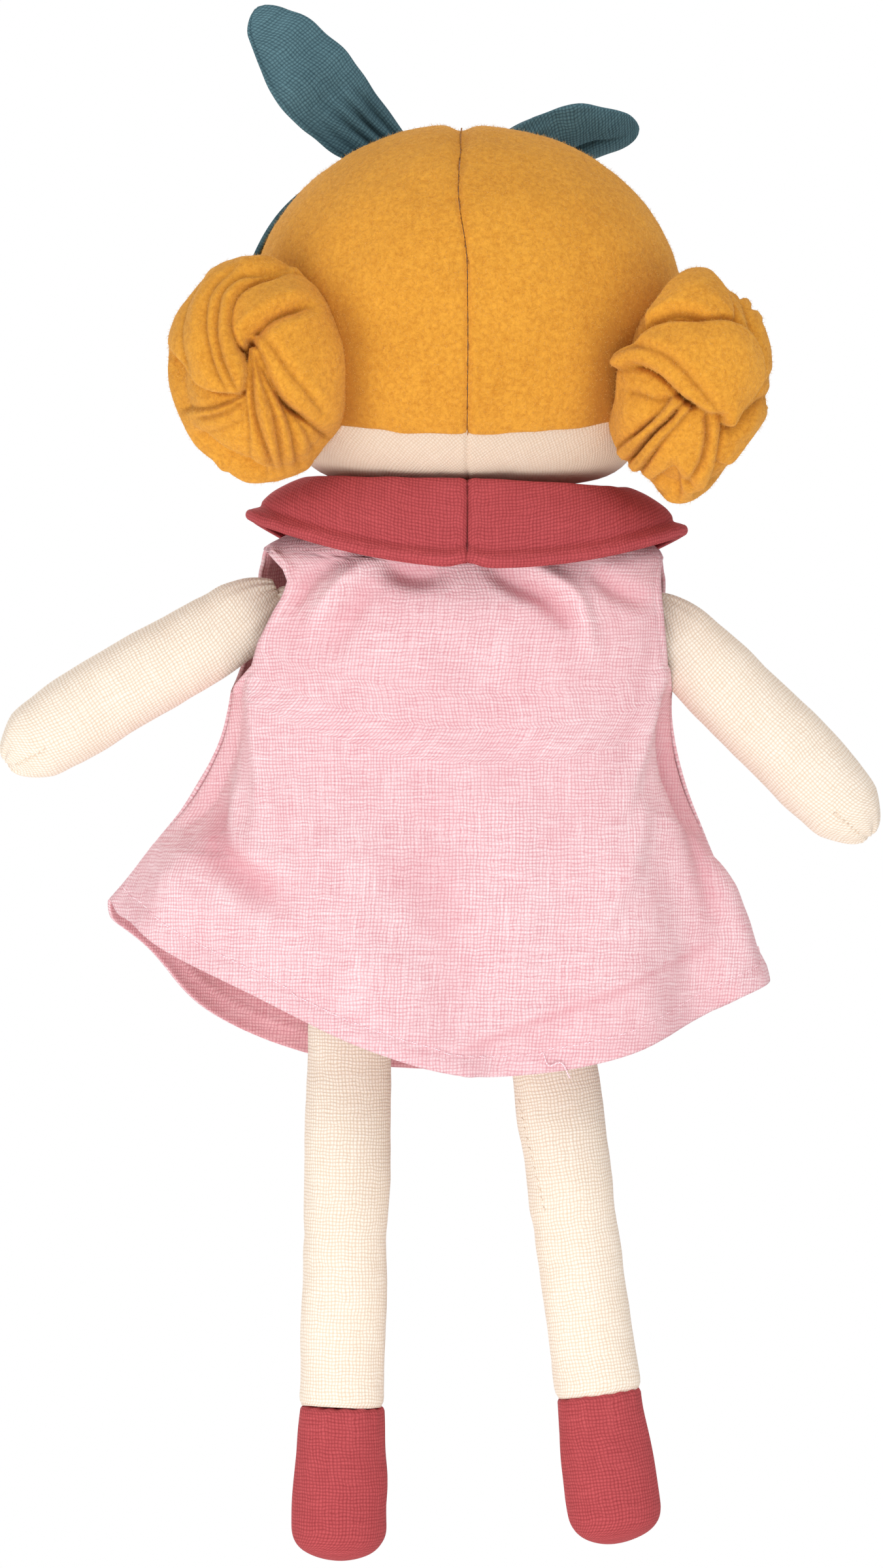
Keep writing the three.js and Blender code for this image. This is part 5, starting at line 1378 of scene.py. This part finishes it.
# Seen from behind, the cloth of the back ends at these places across, for heights down the armhole
HEIGHTS = [6.0, 8.0, 12.9, 18.4, 25.9, 29.5, 33.3, 36.0, 38.4, 41.0, 42.5]
BACK_EDGES = {1: [60, 57.2, 52.3, 50.8, 47.1, 45.0, 43.6, 44.6, 46.8, 49.2, 70],
              -1: [56, 52.4, 48.6, 48.2, 47.6, 47.2, 47.0, 47.0, 47.4, 48.6, 70]}


def panel(rows, cols, facing):
    """A grid of dress points for the back (facing 1) or the front (-1)"""
    down = np.concatenate([np.linspace(0, 0.08, 14), np.linspace(0.085, 1, rows - 14)])

    def cut_away(side):
        """A test of whether the armhole on one side (1 or -1) takes the cloth away at an angle"""
        def test(angle):
            p = dress_point(down, facing * (angle if side > 0 else math.pi - angle))
            away = np.abs(p[:, 1]) < hole_edge(p[:, 2]) + 0.2
            if facing > 0:
                in_hole = (p[:, 2] > HEIGHTS[0]) & (p[:, 2] < HEIGHTS[-1])
                away |= in_hole & (np.abs(p[:, 0]) > np.interp(p[:, 2], HEIGHTS, BACK_EDGES[side]))
            return away
        return test

    ends = [halve(cut_away(side), np.zeros(rows), np.full(rows, math.pi / 2))[1] for side in (1, -1)]
    ends[1] = math.pi - ends[1]
    angle = ends[0][:, None] + (ends[1] - ends[0])[:, None] * np.linspace(0, 1, 400)[None, :]
    fine = dress_point(np.broadcast_to(down[:, None], angle.shape), facing * angle)
    far = np.concatenate([np.zeros((rows, 1)),
                          np.cumsum(np.linalg.norm(np.diff(fine, axis=1), axis=2), axis=1)], axis=1)
    grid = np.empty((rows, cols, 3))
    for r in range(rows):
        want = np.linspace(0, far[r, -1], cols)
        for k in range(3):
            grid[r, :, k] = np.interp(want, far[r], fine[r, :, k])
    return grid


# %% [markdown]
# A fold is pressed along a line seen from behind, in mm across and up. Each point of the panel
# finds its nearest point on the line and moves in or out by a bell-shaped amount, which fades
# towards the line's ends.

# %% Pressing folds
def near_line(grid, line):
    """Distance of each point from a line seen from behind, its side, and how far along"""
    way = along_path(line, 60)
    flat = grid[..., [0, 2]].reshape(-1, 1, 2)
    gap = flat - way[None]
    nearest = np.argmin((gap**2).sum(axis=2), axis=1)
    offset = gap[np.arange(len(flat)), nearest]
    along = np.gradient(way, axis=0)[nearest]
    side = np.sign(along[:, 0] * offset[:, 1] - along[:, 1] * offset[:, 0])
    shape = grid.shape[:2]
    return np.linalg.norm(offset, axis=1).reshape(shape), side.reshape(shape), (nearest / 59).reshape(shape)


def fold(grid, line, height, width, other=None, away=0.0):
    """Height of a fold, which may be steeper on one side, and how far the cloth falls away beyond it"""
    gap, side, along = near_line(grid, line)
    wide = np.where(side > 0, width, other or width)
    fade = np.sin(math.pi * np.clip(0.04 + 0.92 * along, 0, 1)) ** 0.6
    beyond = np.where(side * np.sign(away) > 0, np.minimum(gap, 9.0), 0) * abs(away)
    return height * bell(gap, wide) * fade, beyond * np.sin(math.pi * along) ** 0.7


# Each fold: its line, height, width on either side, and how steeply the cloth falls away beyond it
BACK_FOLDS = [
    ([(46.0, 27.9), (50.8, 18.4), (52.2, 12.9), (52.5, 4.9), (51.7, -4.4), (50.8, -13.8), (51.3, -22.1),
      (52.4, -34.0)], 1.0, 1.6, 3.2, 0.5),
    ([(64.7, -16.0), (63.2, -25.2), (61.1, -31.6), (55.6, -37.6), (46.1, -44.2)], -3.4, 4.0, 4.5),
    ([(58.5, -10.0), (58.5, -22.0), (54.0, -31.0), (45.0, -36.0)], 1.4, 3.0, 3.0),
    ([(74.0, -30.0), (70.0, -40.0), (60.0, -50.0)], 1.6, 4.0, 4.0),
    ([(-49.0, 20.1), (-46.4, 5.0), (-43.7, -4.1), (-38.1, -20.8)], 1.6, 2.6, 2.0, -0.35),
    ([(-42.9, -20.5), (-37.5, -40.3), (-32.9, -48.3), (-28.0, -58.6)], 1.7, 1.6, 3.0),
    ([(-50.0, 4.0), (-53.5, -14.0), (-57.0, -32.0), (-60.5, -50.0)], -3.0, 3.4, 3.4),
    ([(-61.0, -34.0), (-65.0, -48.0), (-69.0, -58.0)], 1.4, 2.6, 2.6),
    ([(20.0, 37.5), (14.0, 34.6), (7.0, 34.9)], -2.2, 2.6, 2.6),
    ([(-6.0, 36.5), (-10.8, 32.9), (-18.4, 29.2), (-25.5, 22.3)], -2.4, 2.2, 2.6),
    ([(-13.0, 39.0), (-19.0, 35.0), (-26.0, 29.2), (-29.5, 17.2)], 2.0, 2.2, 2.4),
    ([(-30.0, 36.0), (-35.0, 32.0), (-43.3, 28.0)], -1.8, 2.4, 2.4),
    ([(18.0, 41.4), (26.0, 36.0), (32.2, 30.5), (38.0, 22.4)], 1.9, 2.2, 2.6),
    ([(22.0, 33.0), (28.0, 26.0), (33.0, 16.0)], -1.3, 3.0, 3.0),
    ([(30.0, 40.0), (38.0, 34.0), (42.5, 27.0)], -1.7, 1.8, 2.2),
    ([(48.1, 41.5), (45.6, 38.0), (43.8, 33.5)], 1.2, 1.2, 1.6),
    ([(30.0, -26.0), (27.0, -50.0), (25.0, -74.0)], 1.5, 6.0, 8.0),
    ([(10.0, -20.0), (7.0, -48.0), (4.0, -78.0)], -1.0, 7.0, 7.0),
    ([(-12.0, -20.0), (-13.0, -48.0), (-12.0, -76.0)], 1.2, 7.0, 6.0),
]
FRONT_FOLDS = [
    ([(24.0, 38.0), (33.0, 26.0), (38.0, 8.0)], 1.8, 2.6, 3.4),
    ([(-24.0, 38.0), (-32.0, 24.0), (-34.0, 6.0)], 1.8, 3.4, 2.6),
    ([(8.0, 34.0), (10.0, 10.0), (9.0, -14.0)], -1.3, 3.0, 3.0),
    ([(-10.0, 34.0), (-14.0, 8.0), (-17.0, -20.0)], 1.5, 4.0, 4.0),
    ([(38.0, -10.0), (44.0, -34.0), (52.0, -62.0)], -3.0, 5.0, 5.0),
    ([(-34.0, -8.0), (-40.0, -36.0), (-44.0, -66.0)], -3.0, 5.0, 5.0),
    ([(14.0, -20.0), (16.0, -48.0), (20.0, -76.0)], 2.2, 5.0, 6.0),
]

# %% Dress panels
DRESS_THICKNESS, HEM_RISE = 0.9, 5.2
HEM_TURN = [(4.0, -79.4), (-10.3, -73.8), (-23.0, -69.0), (-37.3, -63.5), (-50.0, -57.1), (-60.0, -52.5)]


def dress_panel(name, facing, folds):
    """A panel with its folds, armhole edges and hem pressed in, its points and their normals"""
    grid = panel(168, 190, facing)
    n = outward(grid, False, (0, 0, 0))
    relief = lumps(grid, 24.0, 1.1, 1.0 + facing) + lumps(grid, 9.0, 0.4, 4.0) + lumps(grid, 4.0, 0.12, 6.0)
    raised, falling = [sum(parts) for parts in zip(*[fold(grid, line, *sizes) for line, *sizes in folds])]
    # random uneven tone, and painted shade in the valleys of the folds
    uneven_tone_and_painted_shade = 0.25 * lumps(grid, 15.0, 1.0, 7.0) - raised / (3.0 if facing > 0 else 9.0)
    z = grid[..., 2]
    relief = relief + (1.15 + 0.35 * np.clip((z - 10) / 20, 0, 1)) * (raised - falling)
    from_side = np.minimum(np.linalg.norm(grid - grid[:, :1], axis=2),
                           np.linalg.norm(grid - grid[:, -1:], axis=2))
    in_hole = np.abs(z - HOLE_HEIGHT) < HOLE_HALF_HEIGHT
    welt = 0.7 * bell(from_side - 1.0, 0.8) - 0.25 * bell(from_side - 2.6, 0.5)
    relief = relief + np.where(in_hole, welt, 0)
    relief = relief - np.where(in_hole, 0, 0.35 * bell(from_side, 0.7))
    to_hem = np.linalg.norm(grid - grid[-1:], axis=2)
    relief = relief - 0.35 * bell(to_hem - HEM_RISE, 0.5) + 0.3 * bell(to_hem - 2.4, 1.8)
    if facing > 0:
        gap, side, along = near_line(grid, HEM_TURN)
        below = np.where(side > 0, gap, 0) * np.clip(along / 0.12, 0, 1) * np.clip((1 - along) / 0.12, 0, 1)
        relief = relief - 0.28 * np.minimum(below, 8) + 0.9 * bell(gap, 1.6) * np.sin(math.pi * along)
        # painted shade on the band below the hem's turn and just under its crease
        uneven_tone_and_painted_shade = uneven_tone_and_painted_shade + 0.3 * np.clip(below / 2, 0, 1) + 0.5 * bell(gap - 1.6, 1.1) * (below > 0)
    # painted shade growing towards the top of the dress
    uneven_tone_and_painted_shade = uneven_tone_and_painted_shade + 0.4 * np.clip((z + 60) / 110, 0, 1)
    low = np.linspace(0, 1, len(grid))[:, None] ** 8
    grid[..., 2] += 3.6 * bell(from_side, 3.2) * low
    calm = np.clip(from_side / 4.0, 0.15, 1) * np.clip((DRESS_TOP + 0.5 - z) / 6.0, 0.1, 1)
    grid = press(grid, n, relief * calm)
    made = piece_of(name, grid, pink, inside=(0, 0, 0), level=True)
    paint_tone_and_shade(made, uneven_tone_and_painted_shade)
    thicken(made, DRESS_THICKNESS, pink_inner_side_painted_shade)
    return made, grid, n


back_panel, back_grid, back_normal = dress_panel("dress_back_panel", 1, BACK_FOLDS)
front_panel, front_grid, front_normal = dress_panel("dress_front_panel", -1, FRONT_FOLDS)
for made, stands_for in ((back_panel, "dress_back"), (front_panel, "dress_front")):
    finish_piece(made, [stands_for])

# %% [markdown]
# The hem is turned up and sewn by machine: a row of short stitches 5 mm above the edge, with one
# loose thread end at the back.

# %% Hem stitches
def hem_line(grid, n):
    """The line on a panel where its turned hem is sewn"""
    far = np.linalg.norm(grid - grid[-1:], axis=2)
    row = np.argmin(np.abs(far - HEM_RISE), axis=0)
    cols = np.arange(grid.shape[1])
    return grid[row, cols] + n[row, cols] * 0.12


back_line, front_line = hem_line(back_grid, back_normal), hem_line(front_grid, front_normal)
HEM_STITCH = {"spacing": 2.9, "length": 2.2, "radius": 0.2, "finish": pink_thread}
hem_back = stitches("hem_stitches_back", back_line[2:-2], **HEM_STITCH)
hem_front = stitches("hem_stitches_front", front_line[2:-2], **HEM_STITCH)
start = back_line[118]
loose = along_path([start, start + (-1.5, 1.2, -3), start + (-4.0, 1.0, -2.2), start + (-6.5, 0.6, -6.0)], 40)
grid, _ = sweep(loose, (0, 1, 0), np.full(40, 0.2), np.full(40, 0.2), 6)
loose_end = tube("loose_hem_thread", grid, pink_thread)
for made in (back_panel, front_panel, hem_back, hem_front, loose_end):
    if made not in (back_panel, front_panel):
        finish_piece(made, [])
    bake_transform(made)

# %% [markdown]
# ## Collar and neck binding
# The collar is two halves of red linen, each of two layers sewn and turned, so its edge is a
# firm little roll with the lining's edge just below it. It rises from the neck, rolls over and
# lies on the shoulders. A narrow tape binds the neck of the dress under it.

# %% Collar
COLLAR_SHARES = np.array([[0, 0, 0], [.5, .55, 0], [1, 1, 0], [1, .93, .3], [1, .55, .72], [1, 0, 1]])
COLLAR_WIDTHS, COLLAR_DEPTHS, COLLAR_THICKNESS = (20.5, 37.5, 52.6), (18.5, 25.0, 32.0), 0.95


def collar_point(step, angle, lower=0.0):
    """step runs from 0 at the neck to 5 at the edge"""
    out, rise, fall = np.moveaxis(through(np.arange(6), COLLAR_SHARES,
                                          np.ravel(step)).reshape(*np.shape(step), 3), -1, 0)
    out, fall = np.clip(out, 0, 1), np.clip(fall, 0, 1)
    reach = [sizes[0] + (sizes[1] - sizes[0]) * out + (sizes[2] - sizes[1]) * fall
             for sizes in (COLLAR_WIDTHS, COLLAR_DEPTHS)]
    across, back = np.cos(angle), np.sin(angle)
    edge = TORSO_TOP - (14.5 + (4.5 - 14.5) * across**2)
    low = TORSO_TOP + 0.2 + (edge - TORSO_TOP - 0.2) * np.clip(step - 2, 0, 1)
    dip = np.where(back < 0, 4.5 * out * back**2, 0)
    z = low + (TORSO_TOP + 5.5 - low) * rise - lower * np.clip(step - 4, 0, 1) - dip
    x = across * reach[0]
    return np.stack([x, back * reach[1], z + 0.034 * x], axis=-1)


def collar_half(name, facing, inset, lower, seed):
    """One layer of one half of the collar, and the line that its edge roll follows"""
    step = np.concatenate([np.linspace(0, 4, 44), np.linspace(4.05, 5, 22)])
    reach = np.interp(step, [0, 2, 5], COLLAR_WIDTHS)
    front = -np.arccos(np.clip(3.5 / reach, 0, 1)) + 0.004
    back = math.pi / 2 - 0.03 / reach
    t = np.linspace(0, 1, 120)
    angle = back[:, None] + (front - back)[:, None] * t[None, :]
    if facing < 0:
        angle = math.pi - angle
    corner = 1 - 0.13 * bell(1 - t, 0.045) - 0.02 * bell(t, 0.02)
    grid = collar_point(step[:, None] * corner[None, :], angle, lower)
    n = outward(grid, False, (0, 0, 30))
    to_edge = np.linalg.norm(grid - grid[-1:], axis=2)
    to_seam = np.linalg.norm(grid - grid[:, :1], axis=2)
    bead = 1.0 * bell(to_edge - 1.2, 1.1) - 0.5 * bell(to_edge - 3.4, 0.8)
    seam = -0.4 * bell(to_seam, 0.6) + 0.15 * bell(to_seam - 1.8, 0.8)
    waves = 0.5 * np.sin(5 * angle + seed) * np.clip((step[:, None] - 3) / 2, 0, 1)
    relief = (-inset + bead + seam
              + (lumps(grid, 9.0, 0.35, seed) + lumps(grid, 3.5, 0.1, seed)) * (inset < 0.5) + waves * 0.6)
    grid = press(grid, n, relief)
    half = piece_of(name, grid, red, inside=(0, 0, 30), middle_column=0)
    thicken(half, COLLAR_THICKNESS)
    return half, grid[-1] - 0.35 * n[-1] + np.array([0, 0, 0.35])


def rolled_edge(name, line, radius):
    """The roll along a collar's edge, where its two layers are turned over a cord of seam allowance"""
    line = line + np.array([0, 0, 1]) * lumps(line, 7.0, 0.25, 5.0)[:, None]
    roll, _ = sweep(line, (0, 0, 1), np.full(len(line), radius), np.full(len(line), radius * 0.9), 20)
    return tube(name, roll, red)


for side, facing in (("left", 1), ("right", -1)):
    top, edge = collar_half(f"collar_top_{side}", facing, 0.0, 0.0, 1.0 + facing)
    roll = rolled_edge(f"collar_roll_{side}", edge, 1.35)
    under, _ = collar_half(f"collar_under_{side}", facing, 1.45, 1.2, 1.0 + facing)
    finish_piece(roll, [f"collar_{side}"], "torso")
    for layer, part in ((top, f"collar_{side}"), (under, f"collar_lining_{side}")):
        finish_piece(layer, [part], "torso")

# %% Neck binding
NECK_HALF_WIDTH, NECK_HALF_DEPTH, BINDING_INSET, BINDING_RADIUS = 19.0, 18.0, 0.55, 1.05
turn = np.linspace(0, 2 * math.pi, 160, endpoint=False)
way = np.stack([(NECK_HALF_WIDTH - BINDING_INSET) * np.cos(turn),
                (NECK_HALF_DEPTH - BINDING_INSET) * np.sin(turn),
                np.full(160, DRESS_TOP + 1.45)], axis=1)
ring = np.linspace(0, 2 * math.pi, 18, endpoint=False)
out = np.stack([np.cos(turn), np.sin(turn), 0 * turn], axis=1)
cos, sin = np.cos(ring)[None, :, None], np.sin(ring)[None, :, None]
round_it = BINDING_RADIUS * (cos * out[:, None, :] + sin * np.array([0, 0, 1]))
grid = way[:, None, :] + round_it * (1 + 0.05 * np.sin(40 * turn))[:, None, None]
grid = np.concatenate([grid, grid[:1]])
binding = piece_of("rolled_neck_binding", grid, red, around=True, inside=(0, 0, 0))
weld = binding.modifiers.new("weld", "WELD")
weld.merge_threshold = 0.01 * MM
settle(binding)
finish_piece(binding, ["neck_binding"], "torso")
